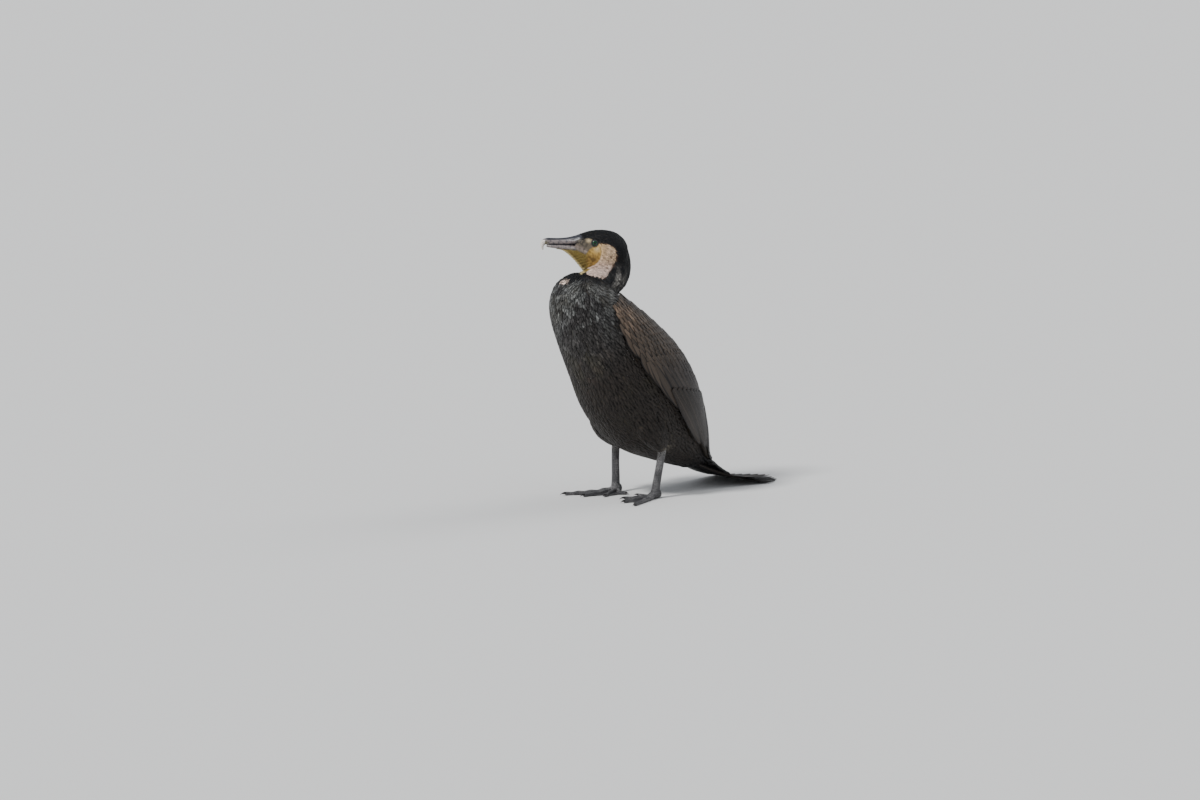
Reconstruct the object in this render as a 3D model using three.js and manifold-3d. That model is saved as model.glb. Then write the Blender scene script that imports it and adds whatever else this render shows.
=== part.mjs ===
// A great cormorant, life size, standing upright on a floor with its neck folded and its head
// turned to its right. Millimetres, +Z up. The bird's body faces -Y and its left side is +X.
// Every place below is written as forward, left and up from the floor point between its ankles.
import * as THREE from "three";
import { mergeVertices } from "three/addons/utils/BufferGeometryUtils.js";
import Module from "manifold-3d";

const wasm = await Module();
wasm.setup();

// Driving dimensions
const GAP = 0.3; // between neighbouring pieces
const HEAD_TURN = 45; // degrees, to the bird's right
const EYE = { forward: 67, left: -22.1, up: 399.6 }; // the head's mid-plane at the level of the eyes
const EYE_RADIUS = 6.2;
const EYE_OUT = 15.2; // from the head's mid-plane to the middle of each eyeball
const ANKLE = { forward: -7, left: 51, up: 77 }; // top of the bare leg
const FOOT = { forward: 0, left: 43, up: 9 }; // where the toes meet
const FOOT_TURN = 8; // degrees, each foot outwards
const CLAW_LENGTH = 11;
const WING_LIFT = 7; // how far the folded wing stands off the trunk in its middle
const TAIL_ROOT = { forward: -104, up: 46 };
const TAIL_FEATHERS = 14;
const TAIL_LENGTH = 158; // beyond the coverts
const TAIL_SUNK = 26; // length of each tail feather inside the rump
const TAIL_FAN = 33; // degrees between the outer tail feathers

// The middle of the trunk from the top of the breast to the rump, with the half width to each
// side and the reach of the back and of the belly. The last two stations carry only the wings.
const TRUNK = [
  { forward: 142, up: 341, wide: 32, back: 27, belly: 27 },
  { forward: 127, up: 320, wide: 50, back: 45, belly: 46 },
  { forward: 104, up: 294, wide: 61, back: 53, belly: 60 },
  { forward: 57, up: 241, wide: 71, back: 66, belly: 80 },
  { forward: 10, up: 187, wide: 78, back: 78, belly: 96 },
  { forward: -36, up: 134, wide: 73, back: 72, belly: 86 },
  { forward: -84, up: 84, wide: 52, back: 48, belly: 50 },
  { forward: -120, up: 52, wide: 32, back: 22, belly: 24 },
  { forward: -146, up: 38, wide: 22, back: 9, belly: 11 },
];
const TRUNK_END = 7.1; // station where the trunk stops and the tail begins
const SQUARENESS = 2.1; // power of the trunk's and the crown's ovals: 2 is an ellipse

const MATERIALS = {
  plumage: { color: 0x1b1a1a, roughness: 0.75, metalness: 0.0 },
  neck: { color: 0x0f1013, roughness: 0.7, metalness: 0.0 },
  wing: { color: 0x2a231e, roughness: 0.6, metalness: 0.0 },
  tail: { color: 0x161416, roughness: 0.6, metalness: 0.0 },
  face: { color: 0xc9b25a, roughness: 0.6, metalness: 0.0 },
  bill: { color: 0x77706c, roughness: 0.4, metalness: 0.0 },
  eye: { color: 0x1f5a3a, roughness: 0.1, metalness: 0.0 },
  leg: { color: 0x3a3a3e, roughness: 0.55, metalness: 0.0 },
  claw: { color: 0x1c1a1a, roughness: 0.4, metalness: 0.0 },
};

const radians = THREE.MathUtils.degToRad;
const degrees = THREE.MathUtils.radToDeg;
const mix = THREE.MathUtils.lerp;
const LEFT = new THREE.Vector3(1, 0, 0);
const UP = new THREE.Vector3(0, 0, 1);

function at({ forward, left = 0, up }) {
  return new THREE.Vector3(left, -forward, up);
}

// Solids

// A closed body for joins and cuts, its faces turned outwards whichever way they were wound
function solidOf(geometry) {
  const bare = geometry.clone();
  bare.deleteAttribute("normal");
  bare.deleteAttribute("uv");
  const merged = mergeVertices(bare, 1e-4);
  const triVerts = new Uint32Array(merged.index.array);
  const vertProperties = merged.attributes.position.array;
  const made = () => new wasm.Manifold(new wasm.Mesh({ numProp: 3, vertProperties, triVerts }));
  if (made().volume() > 0) return made();
  for (let i = 0; i < triVerts.length; i += 3) {
    [triVerts[i + 1], triVerts[i + 2]] = [triVerts[i + 2], triVerts[i + 1]];
  }
  return made();
}

// A closed solid through rings of points, each ring closed on itself and of the same length.
function loft(rings) {
  const around = rings[0].length;
  const points = rings.flat();
  const index = [];
  for (let r = 0; r + 1 < rings.length; r++) {
    for (let i = 0; i < around; i++) {
      const a = r * around + i;
      const b = r * around + ((i + 1) % around);
      index.push(a, b, b + around, a, b + around, a + around);
    }
  }
  [0, rings.length - 1].forEach((r, end) => {
    const middle = new THREE.Vector3();
    rings[r].forEach((p) => middle.add(p));
    points.push(middle.divideScalar(around));
    const hub = points.length - 1;
    for (let i = 0; i < around; i++) {
      const a = r * around + i;
      const b = r * around + ((i + 1) % around);
      index.push(...(end ? [hub, a, b] : [hub, b, a]));
    }
  });
  const geometry = new THREE.BufferGeometry().setFromPoints(points);
  geometry.setIndex(index);
  return solidOf(geometry);
}

// A curve through three-number stations, read at a station number that need not be whole.
function through(stations) {
  const curve = new THREE.CatmullRomCurve3(stations, false, "catmullrom", 0.5);
  return (station) => curve.getPoint(station / (stations.length - 1));
}

// An oval of unequal halves about a middle: side is its width's direction, top its upper half's.
function oval({ middle, side, top, size, angle, power = 2 }) {
  const c = Math.cos(angle);
  const s = Math.sin(angle);
  const round = 2 / power;
  const across = Math.sign(c) * Math.abs(c) ** round * size.x;
  const high = Math.sign(s) * Math.abs(s) ** round * (s > 0 ? size.y : size.z);
  return middle.clone().addScaledVector(side, across).addScaledVector(top, high);
}

// The angles of a ring's points
function turns(around) {
  return Array.from({ length: around }, (_, i) => (2 * Math.PI * i) / around);
}

// A tube along a path: sizes are half width, reach of the upper half and reach of the lower half.
// The upper half is on the side that side x along points to.
function tube({ path, sizes, side = LEFT, rings, around = 16, grow = 0 }) {
  const place = through(path);
  const size = through(sizes.map((s) => new THREE.Vector3(...s)));
  const last = path.length - 1;
  const made = [];
  for (let r = 0; r <= rings; r++) {
    const station = (last * r) / rings;
    const step = last * 1e-3;
    const ahead = place(Math.min(last, station + step));
    const along = ahead.sub(place(Math.max(0, station - step))).normalize();
    const top = new THREE.Vector3().crossVectors(side, along).normalize();
    const across = new THREE.Vector3().crossVectors(along, top).normalize();
    const middle = place(station);
    if (r === 0) middle.addScaledVector(along, -grow);
    if (r === rings) middle.addScaledVector(along, grow);
    const ring = { middle, side: across, top, size: size(station).addScalar(grow) };
    made.push(turns(around).map((angle) => oval({ ...ring, angle })));
  }
  return loft(made);
}

function largest(solid) {
  const pieces = solid.decompose();
  return pieces.reduce((best, piece) => (piece.volume() > best.volume() ? piece : best));
}

function joined(solids) {
  return solids.reduce((all, solid) => all.add(solid));
}

function block(low, high) {
  const size = new THREE.Vector3().subVectors(high, low);
  const middle = new THREE.Vector3().addVectors(high, low).multiplyScalar(0.5);
  return solidOf(new THREE.BoxGeometry(size.x, size.y, size.z).translate(middle.x, middle.y, middle.z));
}

const FAR = 600; // beyond the whole bird
const ABOVE_FLOOR = block(new THREE.Vector3(-FAR, -FAR, 0), new THREE.Vector3(FAR, FAR, FAR));
const LEFT_HALF = block(new THREE.Vector3(GAP / 2, -FAR, 0), new THREE.Vector3(FAR, FAR, FAR));

// Trunk

const TRUNK_LAST = TRUNK.length - 1;
const trunkMiddle = through(TRUNK.map(at));
const trunkSize = through(TRUNK.map(({ wide, back, belly }) => new THREE.Vector3(wide, back, belly)));

function trunkAlong(station) {
  const step = 0.02;
  const ahead = trunkMiddle(Math.min(TRUNK_LAST, station + step));
  return ahead.sub(trunkMiddle(Math.max(0, station - step))).normalize();
}

// The point of the trunk's skin at a station and an angle: 0 is its left flank, 90 its back.
// lift moves the point out from the skin.
function trunkPoint(station, turned, lift = 0) {
  const middle = trunkMiddle(station);
  const size = trunkSize(station).addScalar(lift);
  const back = new THREE.Vector3().crossVectors(LEFT, trunkAlong(station));
  return oval({ middle, side: LEFT, top: back, size, angle: radians(turned), power: SQUARENESS });
}

const BREAST_DOME = 8; // how far the top of the breast bulges beyond the first station

function trunk(grow = 0) {
  const rings = 17;
  const around = 24;
  const made = [];
  for (let r = 0; r <= rings; r++) {
    const station = (TRUNK_END * r) / rings;
    const ends = r === 0 ? -grow : r === rings ? grow : 0;
    const shift = trunkAlong(station).multiplyScalar(ends);
    made.push(turns(around).map((angle) => trunkPoint(station, degrees(angle), grow).add(shift)));
  }
  const dome = BREAST_DOME + grow;
  const crown = trunkMiddle(0).add(at({ forward: dome, up: dome }));
  made.unshift(made[0].map((p) => p.clone().lerp(crown, 0.6)));
  return loft(made);
}

// Thighs: the feathered upper legs that come out of the flanks and end at the ankles

function thigh(side) {
  const path = [
    { forward: 22, left: 44 * side, up: 128 },
    { forward: 10, left: 50 * side, up: 104 },
    { forward: 0, left: 52 * side, up: 88 },
    { forward: ANKLE.forward, left: ANKLE.left * side, up: ANKLE.up - 1 },
  ];
  const sizes = [[24, 30, 30], [20, 25, 25], [14, 18, 16], [7.5, 9, 8]];
  return tube({ path: path.map(at), sizes, rings: 6, around: 14 });
}

// Neck: out of the breast, back over the shoulders, round the lower bend and up to the nape

function neck(grow = 0) {
  const path = [
    { forward: 121, up: 308 },
    { forward: 106, up: 326 },
    { forward: 88, up: 336 },
    { forward: 66, up: 339 },
    { forward: 48, left: -1, up: 346 },
    { forward: 40, left: -3, up: 364 },
    { forward: 44, left: -6, up: 386 },
    { forward: 56, left: -14, up: 402 },
  ];
  const sizes = [
    [27, 28, 27], [27, 29, 28], [25, 27, 26], [24, 25, 25],
    [24, 24.5, 24], [23, 24, 24], [20, 22, 23], [15, 15, 16],
  ];
  return tube({ path: path.map(at), sizes, rings: 17, around: 16, grow });
}

// Head, in its own frame: a runs towards the bill and b up, both from the middle of the eyes

const HEAD_FORWARD = new THREE.Vector3(0, -1, 0).applyAxisAngle(UP, radians(-HEAD_TURN));
const HEAD_LEFT = new THREE.Vector3(1, 0, 0).applyAxisAngle(UP, radians(-HEAD_TURN));
const HEAD_RIGHT = HEAD_LEFT.clone().negate();

function onHead(a, b, m = 0) {
  return at(EYE).addScaledVector(HEAD_FORWARD, a).addScaledVector(UP, b).addScaledVector(HEAD_LEFT, m);
}

// Each station of the head: how far forward, its top and bottom, the level where it is widest,
// and its half width.
const HEAD = [
  { a: -50, top: -6, bottom: -34, level: -16, wide: 12 },
  { a: -44, top: 5, bottom: -44, level: -14, wide: 18.5 },
  { a: -32, top: 14.5, bottom: -50, level: -13, wide: 22.5 },
  { a: -18, top: 18.2, bottom: -51, level: -12, wide: 23 },
  { a: -4, top: 18.8, bottom: -51, level: -10, wide: 20.5 },
  { a: 9, top: 17, bottom: -49, level: -8, wide: 16.5 },
  { a: 19, top: 14, bottom: -44, level: -6, wide: 13.5 },
  { a: 26, top: 10.5, bottom: -36, level: -6, wide: 11.6 },
  { a: 31, top: -5, bottom: -30, level: -12, wide: 9.8 },
  { a: 40, top: -8.5, bottom: -21, level: -13, wide: 7.2 },
  { a: 50, top: -9.5, bottom: -13.6, level: -11.6, wide: 5 },
  { a: 60, top: -9.6, bottom: -11.4, level: -10.6, wide: 3.4 },
];

const THROAT_SQUARENESS = 1.75; // the lower half narrows to a keel

function headShape() {
  const rings = HEAD.map(({ a, top, bottom, level, wide }) => {
    const size = new THREE.Vector3(wide, top - level, level - bottom);
    return turns(18).map((angle) => {
      const power = angle > Math.PI ? THROAT_SQUARENESS : SQUARENESS;
      return oval({ middle: onHead(a, level), side: HEAD_LEFT, top: UP, size, angle, power });
    });
  });
  return loft(rings);
}

function upperBill(grow = 0) {
  const path = [
    [20, 3.4], [30, 2.2], [42, 1], [55, 0.9], [66, 1.1], [73, 1.2], [78.6, -0.9], [81, -6], [80, -12.4],
  ];
  const sizes = [
    [12, 9.5, 8.2], [10.2, 7.6, 6.6], [7.8, 6.2, 5.6], [6, 5.2, 5.4], [5, 5.1, 5.5],
    [4.7, 5, 5.2], [4, 4.4, 4.2], [2.6, 2.6, 2.6], [0.9, 0.8, 0.8],
  ];
  const middle = path.map(([a, b]) => onHead(a, b));
  const solid = tube({ path: middle, sizes, side: HEAD_RIGHT, rings: 15, around: 10, grow });
  return grow ? solid : solid.subtract(joined(billGrooves()));
}

// A shallow groove with a slit nostril runs along each side of the upper bill.
function billGrooves() {
  return [1, -1].map((side) => {
    const along = [[26, 4.6, 10.9], [34, 3.9, 9.6], [48, 3.3, 7.2], [62, 3.4, 5.8]];
    const groove = tube({
      path: along.map(([a, b, m]) => onHead(a, b, m * side)),
      sizes: [[0.8, 0.9, 0.9], [1, 1.1, 1.1], [0.8, 0.9, 0.9], [0.5, 0.6, 0.6]],
      side: HEAD_RIGHT,
      rings: 6,
      around: 6,
    });
    const nostril = tube({
      path: [onHead(30, 4.1, 9.2 * side), onHead(35, 3.8, 8.3 * side)],
      sizes: [[1.2, 0.9, 0.9], [1.2, 0.7, 0.7]],
      side: HEAD_RIGHT,
      rings: 1,
      around: 6,
    });
    return groove.add(nostril);
  });
}

function lowerBill(grow = 0) {
  const path = [[18, -13], [30, -11.2], [42, -9.2], [55, -7.9], [66, -7.1], [74.4, -6.6]];
  const sizes = [
    [11.6, 6, 5], [9.8, 6.4, 4.4], [7.4, 6, 3.4], [5.6, 5, 2.8], [4.4, 4, 2.3], [2.6, 2.4, 1.2],
  ];
  const middle = path.map(([a, b]) => onHead(a, b));
  return tube({ path: middle, sizes, side: HEAD_RIGHT, rings: 9, around: 10, grow });
}

function eyeball(side, grow = 0) {
  const p = onHead(0, 0, EYE_OUT * side);
  return solidOf(new THREE.IcosahedronGeometry(EYE_RADIUS + grow, 2).translate(p.x, p.y, p.z));
}

// A thick rim of skin round each eye: a closed ring of that many sections of that many corners
function eyelid(side) {
  const LID = { long: 5.4, high: 5, thick: 1.1, deep: 1.55, out: 3.1, around: 16, corners: 5 };
  const middle = onHead(0, 0, (EYE_OUT + LID.out) * side);
  const points = turns(LID.around).flatMap((angle) => {
    const away = HEAD_FORWARD.clone().multiplyScalar(Math.cos(angle)).addScaledVector(UP, Math.sin(angle));
    const place = middle.clone()
      .addScaledVector(HEAD_FORWARD, LID.long * Math.cos(angle))
      .addScaledVector(UP, LID.high * Math.sin(angle));
    return turns(LID.corners).map((turn) =>
      place.clone()
        .addScaledVector(away, LID.thick * Math.cos(turn))
        .addScaledVector(HEAD_LEFT, LID.deep * Math.sin(turn)),
    );
  });
  const index = [];
  for (let r = 0; r < LID.around; r++) {
    for (let i = 0; i < LID.corners; i++) {
      const next = (i + 1) % LID.corners;
      const [here, there] = [r * LID.corners, ((r + 1) % LID.around) * LID.corners];
      index.push(here + i, here + next, there + next, here + i, there + next, there + i);
    }
  }
  const geometry = new THREE.BufferGeometry().setFromPoints(points);
  geometry.setIndex(index);
  return solidOf(geometry);
}

// The line of the mouth, a shallow cut from the bill back to below the eye
function mouthLine(side) {
  const along = [[34, -7.6, 9.6], [24, -9.6, 12], [13, -12.6, 15], [3, -17, 18.6]];
  return tube({
    path: along.map(([a, b, m]) => onHead(a, b, m * side)),
    sizes: [[1.1, 0.7, 0.7], [1.2, 0.8, 0.8], [1.2, 0.8, 0.8], [0.6, 0.4, 0.4]],
    side: HEAD_RIGHT,
    rings: 8,
    around: 6,
  });
}

// Feathers

// Half the width of a feather along its length, as a share of its widest: it swells quickly from
// the root, stays broad and rounds off at the tip.
function outline(t, point) {
  return Math.min(1, 0.45 + 1.6 * t) * Math.max(0.06, 1 - t ** point) ** 0.5;
}

// One vane over a surface. place(t, across) gives the surface point under the shaft at t of the
// length and that far to its side, in millimetres; normal(t) the way out. The vane rises from
// low at the root to high at the tip, and tilt raises one edge and lowers the other.
function vane({ place, normal, wide, low, high, depth, tilt = 0, point = 6, steps = 3, ridge = 0.4 }) {
  const rings = [];
  for (let i = 0; i <= steps; i++) {
    const t = i / steps;
    const half = wide * outline(t, point);
    const out = normal(t);
    const lift = mix(low, high, t);
    const thick = depth * (1 - 0.35 * t);
    const lean = half * tilt * (1 - 0.6 * t);
    const raised = (across, up) => place(t, across).addScaledVector(out, lift + up);
    rings.push([
      raised(-half, -lean),
      raised(0, ridge),
      raised(half, lean),
      raised(half, lean - thick),
      raised(0, -thick - 0.1),
      raised(-half, -lean - thick),
    ]);
  }
  return loft(rings);
}

// Wings

// The folded wing covers the trunk's stations from the wrist to the tips. s runs from 0 at the
// wrist to 1 at the tips and d is the angle round the trunk, as in trunkPoint.
const WING_FROM = 1.75;
const WING_TO = 7.95;

function wingPoint(s, d, lift = 0) {
  const station = mix(WING_FROM, WING_TO, s);
  const swell = WING_LIFT * Math.min(1, s * 5, (1.25 - s) * 2.2); // thin at the wrist and the tips
  return trunkPoint(station, d, swell + lift);
}

function wingNormal(s, d) {
  const ds = wingPoint(Math.min(1.02, s + 0.01), d).sub(wingPoint(s - 0.01, d));
  const dd = wingPoint(s, d + 1).sub(wingPoint(s, d - 1));
  return new THREE.Vector3().crossVectors(dd, ds).normalize();
}

// The lower and the upper edge of the folded wing, as angles: they open out in a quarter circle
// behind the wrist and close again at the tips.
function wingEdges(s) {
  const round = Math.sqrt(Math.max(0, 1 - (1 - Math.min(1, s / 0.16)) ** 2));
  const close = Math.sqrt(Math.max(0.04, 1 - (Math.max(0, s - 0.86) / 0.14) ** 2));
  const low = mix(38, mix(-9, 6, s), round);
  const high = mix(48, Math.min(87, 66 + 60 * s), round);
  return [mix(44, low, close), high];
}

function wingCore() {
  const along = 13;
  const around = 7;
  const made = [];
  for (let i = 0; i <= along; i++) {
    const s = mix(0.004, 0.994, i / along);
    const [low, high] = wingEdges(s);
    const outer = [];
    const inner = [];
    for (let j = 0; j <= around; j++) {
      const d = mix(low, high, j / around);
      const edge = Math.min(1, (4 * Math.min(j, around - j)) / around);
      outer.push(wingPoint(s, d, -0.6 - 2 * (1 - edge)));
      inner.push(wingPoint(s, d, -WING_LIFT - 4 * (1 - s)));
    }
    made.push([...outer, ...inner.reverse()]);
  }
  return loft(made);
}

// About how far the wing's surface lies from the middle of the trunk
function wingRadius(s) {
  return 14 + trunkSize(mix(WING_FROM, WING_TO, s)).x * 0.9;
}

// A row of vanes from one place to another on the wing, each from its own root to its own tip.
function wingRow({ count, roots, tips, wide, low = -0.4, high = 1.1, depth = 3, tilt = 0.06, ...rest }) {
  return Array.from({ length: count }, (_, i) => {
    const k = i / (count - 1);
    const between = ([p, q], share) => [mix(p[0], q[0], share), mix(p[1], q[1], share)];
    const root = between(roots, k);
    const tip = between(tips, k);
    const spot = (t) => between([root, tip], t);
    const place = (t, across) => {
      const [s, d] = spot(t);
      return wingPoint(s, d + degrees(across / wingRadius(s)));
    };
    const normal = (t) => wingNormal(...spot(t));
    return vane({ place, normal, wide: mix(wide[0], wide[1], k), low, high, depth, tilt, ...rest });
  });
}

// Tiers from the tips forward: flight feathers first, then the coverts and scapulars over them.
// Roots and tips are given for the first and the last vane of the row, as s and d.
const PRIMARIES = {
  count: 5,
  roots: [[0.7, 34], [0.7, 66]],
  tips: [[0.94, 14], [1.03, 70]],
  wide: [9.5, 8],
  low: -1,
  high: 0.2,
  point: 5,
  steps: 4,
};
const SECONDARIES = {
  count: 8,
  roots: [[0.42, 0], [0.62, 52]],
  tips: [[0.66, -4], [0.93, 52]],
  wide: [10.5, 10.5],
  high: 0.7,
  steps: 4,
};
const TERTIALS = {
  count: 4,
  roots: [[0.36, 57], [0.5, 80]],
  tips: [[0.82, 59], [0.92, 81]],
  wide: [12.5, 12.5],
  high: 1.2,
  point: 4,
  steps: 4,
};
const GREATER_COVERTS = {
  count: 6,
  roots: [[0.26, 0], [0.42, 54]],
  tips: [[0.46, -4], [0.68, 50]],
  wide: [11.5, 11.5],
  high: 1.3,
};
const MEDIAN_COVERTS = {
  count: 5,
  roots: [[0.1, 8], [0.22, 46]],
  tips: [[0.28, -3], [0.48, 42]],
  wide: [11.5, 11.5],
  high: 1.6,
};
const SCAPULARS = {
  count: 4,
  roots: [[0.12, 56], [0.2, 76]],
  tips: [[0.38, 56], [0.6, 76]],
  wide: [12.5, 12.5],
  low: 0,
  high: 1.9,
  point: 4,
};
const WING_TIERS = [PRIMARIES, SECONDARIES, TERTIALS, GREATER_COVERTS, MEDIAN_COVERTS, SCAPULARS];

function wing(side) {
  const vanes = WING_TIERS.flatMap((tier) => wingRow(tier));
  const whole = joined([wingCore(), ...vanes]).intersect(LEFT_HALF);
  return side > 0 ? whole : whole.mirror([1, 0, 0]);
}

// Tail

// The height of a tail feather at a distance from its root: it comes down from the rump and
// bends to lie along the floor.
function tailHeight(distance) {
  const reach = 170; // where the feathers lie flat
  const flat = 0.8; // height of a vane's middle where it lies on the floor
  return flat + (TAIL_ROOT.up - flat) * Math.max(0, 1 - distance / reach) ** 1.9;
}

function tailVane(number) {
  const half = TAIL_FEATHERS / 2;
  const side = number < half ? 1 : -1;
  const rank = number < half ? number : number - half; // 0 is a middle feather
  const inmost = 1.3; // degrees
  const angle = radians(side * mix(inmost, TAIL_FAN / 2, rank / (half - 1)));
  const length = TAIL_LENGTH * (1 - 0.022 * rank - 0.0035 * rank * rank) + TAIL_SUNK;
  const away = new THREE.Vector3(Math.sin(angle), Math.cos(angle), 0);
  const aside = new THREE.Vector3(Math.cos(angle), -Math.sin(angle), 0);
  const from = at({ forward: TAIL_ROOT.forward, left: side * (2 + 2.6 * rank), up: 0 });
  const raised = side > 0 && rank === 0 ? 1.6 : 0; // one of the middle pair lies over the other
  const place = (t, across) => {
    const distance = 6 + t * length;
    return from.clone()
      .addScaledVector(away, distance)
      .addScaledVector(aside, across)
      .addScaledVector(UP, tailHeight(distance) + raised * t);
  };
  const wide = 10.4 - 0.25 * rank;
  const shape = { low: 0, high: 0, depth: 0.9, tilt: 0.2 * side, point: 5, steps: 5, ridge: 0.7 };
  return vane({ place, normal: () => UP, wide, ...shape });
}

// The rump and the coverts over and under the roots of the tail feathers
function tailCore() {
  const path = [
    { forward: -100, up: 62 },
    { forward: -122, up: 50 },
    { forward: -146, up: 37 },
    { forward: -172, up: 22 },
    { forward: -196, up: 13 },
  ];
  const sizes = [[30, 17, 19], [31, 14, 17], [29, 10, 13], [25, 6, 7], [16, 2.4, 3]];
  return tube({ path: path.map(at), sizes, rings: 6, around: 14 });
}

function tail() {
  const vanes = Array.from({ length: TAIL_FEATHERS }, (_, i) => tailVane(i));
  return joined([tailCore(), ...vanes]).intersect(ABOVE_FLOOR);
}

// The room that the tail needs under the wings
function tailRoom() {
  const path = [
    { forward: -96, up: 62 },
    { forward: -122, up: 48 },
    { forward: -150, up: 34 },
    { forward: -190, up: 18 },
    { forward: -240, up: 8 },
    { forward: -300, up: 3 },
  ];
  const sizes = [[33, 20, 30], [35, 16, 30], [38, 13, 30], [44, 9, 30], [58, 6, 20], [70, 5, 20]];
  return tube({ path: path.map(at), sizes, rings: 12, around: 16 });
}

// Legs and feet

function shank(side, grow = 0) {
  const path = [
    { forward: ANKLE.forward - 1, left: ANKLE.left * side, up: ANKLE.up + 7 },
    { forward: ANKLE.forward, left: (ANKLE.left - 0.5) * side, up: ANKLE.up - 3 },
    { forward: -4, left: 48 * side, up: 50 },
    { forward: -1, left: 44.5 * side, up: 24 },
    { forward: FOOT.forward + 1, left: FOOT.left * side, up: FOOT.up },
  ];
  const sizes = [[4.9, 7, 6.6], [5.4, 7.4, 6.8], [4.9, 7.2, 6.8], [5.3, 7.6, 6.8], [6.2, 8, 7.4]];
  return tube({ path: path.map(at), sizes, rings: 9, around: 10, grow });
}

// The four toes of the left foot, inner to outer: angle from the foot's own forward, positive
// outwards, with the length to the root of the claw. All four are joined by one web.
const TOES = [
  { angle: -84, length: 30, thick: 3.1, joints: 1 },
  { angle: -33, length: 50, thick: 3.6, joints: 2 },
  { angle: -7, length: 68, thick: 3.8, joints: 3 },
  { angle: 15, length: 84, thick: 3.9, joints: 4 },
];

function toeAlong(toe, side) {
  const turn = radians(-side * (FOOT_TURN + toe.angle));
  return new THREE.Vector3(-Math.sin(turn), -Math.cos(turn), 0);
}

function toePoint(toe, side, distance, up) {
  const start = at({ forward: FOOT.forward, left: FOOT.left * side, up: 0 });
  return start.addScaledVector(toeAlong(toe, side), distance).addScaledVector(UP, up);
}

function toeSolid(toe, side) {
  const steps = 2 * toe.joints + 1;
  const path = [];
  const sizes = [];
  for (let i = 0; i <= steps; i++) {
    const t = i / steps;
    const swell = 1 + 0.16 * Math.cos(2 * Math.PI * toe.joints * t);
    const round = toe.thick * mix(1.25, 0.78, t) * swell;
    path.push(toePoint(toe, side, toe.length * t, mix(FOOT.up - 2.5, 2.6, Math.min(1, 3 * t))));
    sizes.push([round * 0.95, round, round]);
  }
  const across = new THREE.Vector3().crossVectors(toeAlong(toe, side), UP);
  return tube({ path, sizes, side: across, rings: steps, around: 8 });
}

function web(side) {
  const flat = (toe, distance) => {
    const p = toePoint(toe, side, distance, 0);
    return new THREE.Vector2(p.x, p.y);
  };
  const shape = new THREE.Shape();
  const heel = flat(TOES[3], -6);
  shape.moveTo(heel.x, heel.y);
  TOES.forEach((toe, i) => {
    const tip = flat(toe, toe.length - 1);
    if (i === 0) {
      shape.lineTo(tip.x, tip.y);
      return;
    }
    const before = TOES[i - 1];
    const between = { angle: (toe.angle + before.angle) / 2 };
    const bay = flat(between, 0.4 * (toe.length + before.length));
    shape.quadraticCurveTo(bay.x, bay.y, tip.x, tip.y);
  });
  shape.lineTo(heel.x, heel.y);
  const depth = 1.1;
  const aboveFloor = 0.5;
  const geometry = new THREE.ExtrudeGeometry(shape, { depth, bevelEnabled: false, curveSegments: 5 });
  return solidOf(geometry.translate(0, 0, aboveFloor));
}

function foot(side) {
  const path = [
    { forward: -7, left: FOOT.left * side, up: 8 },
    { forward: 9, left: FOOT.left * side, up: 5 },
  ];
  const knuckle = tube({ path: path.map(at), sizes: [[6.4, 6, 9], [8.2, 5.4, 6.4]], rings: 2, around: 12 });
  const toes = TOES.map((toe) => toeSolid(toe, side));
  return joined([knuckle, web(side), ...toes]).intersect(ABOVE_FLOOR);
}

function claw(toe, side, grow = 0) {
  const base = toe.thick * 0.66;
  const root = toe.length - 1.5; // sunk a little into the toe
  const arch = (t) => 2.9 + 1.6 * Math.sin(Math.PI * t * 0.8) - 2.2 * t * t;
  const path = [0, 0.35, 0.7, 1].map((t) => toePoint(toe, side, root + CLAW_LENGTH * t, arch(t)));
  const sizes = [1, 0.8, 0.5, 0.13].map((share) => [0.82 * base * share, base * share, base * share]);
  const across = new THREE.Vector3().crossVectors(toeAlong(toe, side), UP);
  return tube({ path, sizes, side: across, rings: 4, around: 6, grow });
}

// Cuts and joins leave tiny edges along their seams. Each edge shorter than a length is drawn
// together into one of its ends, unless that would fold or pinch the surface.
function withoutShortEdges(points, faces, shortest) {
  const facesOf = points.map(() => new Set());
  faces.forEach((face, f) => face.forEach((v) => facesOf[v].add(f)));
  const around = (v) => new Set([...facesOf[v]].flatMap((f) => faces[f]).filter((w) => w !== v));
  const normalOf = (face, swap, to) => {
    const [a, b, c] = face.map((v) => points[v === swap ? to : v]);
    return new THREE.Vector3().crossVectors(b.clone().sub(a), c.clone().sub(a));
  };
  const draw = (from, to) => {
    const shared = [...facesOf[from]].filter((f) => faces[f].includes(to));
    const common = [...around(from)].filter((v) => around(to).has(v));
    if (shared.length !== 2 || common.length !== 2) return;
    const kept = [...facesOf[from]].filter((f) => !faces[f].includes(to));
    const folds = kept.some((f) => {
      const before = normalOf(faces[f], -1, -1);
      const after = normalOf(faces[f], from, to);
      return before.dot(after) < 0.5 * before.length() * after.length() || after.length() < 1e-4;
    });
    if (folds) return;
    shared.forEach((f) => faces[f].forEach((v) => facesOf[v].delete(f)));
    kept.forEach((f) => {
      faces[f] = faces[f].map((v) => (v === from ? to : v));
      facesOf[to].add(f);
    });
    facesOf[from].clear();
  };
  for (let pass = 0; pass < 3; pass++) {
    const edges = points.flatMap((point, v) =>
      [...around(v)].map((w) => ({ v, w, length: point.distanceTo(points[w]) })),
    );
    const short = edges.filter(({ length }) => length < shortest).sort((p, q) => p.length - q.length);
    short.forEach(({ v, w }) => {
      if (around(v).has(w)) draw(v, w);
    });
  }
  return faces.filter((face, f) => facesOf[face[0]].has(f));
}

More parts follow.
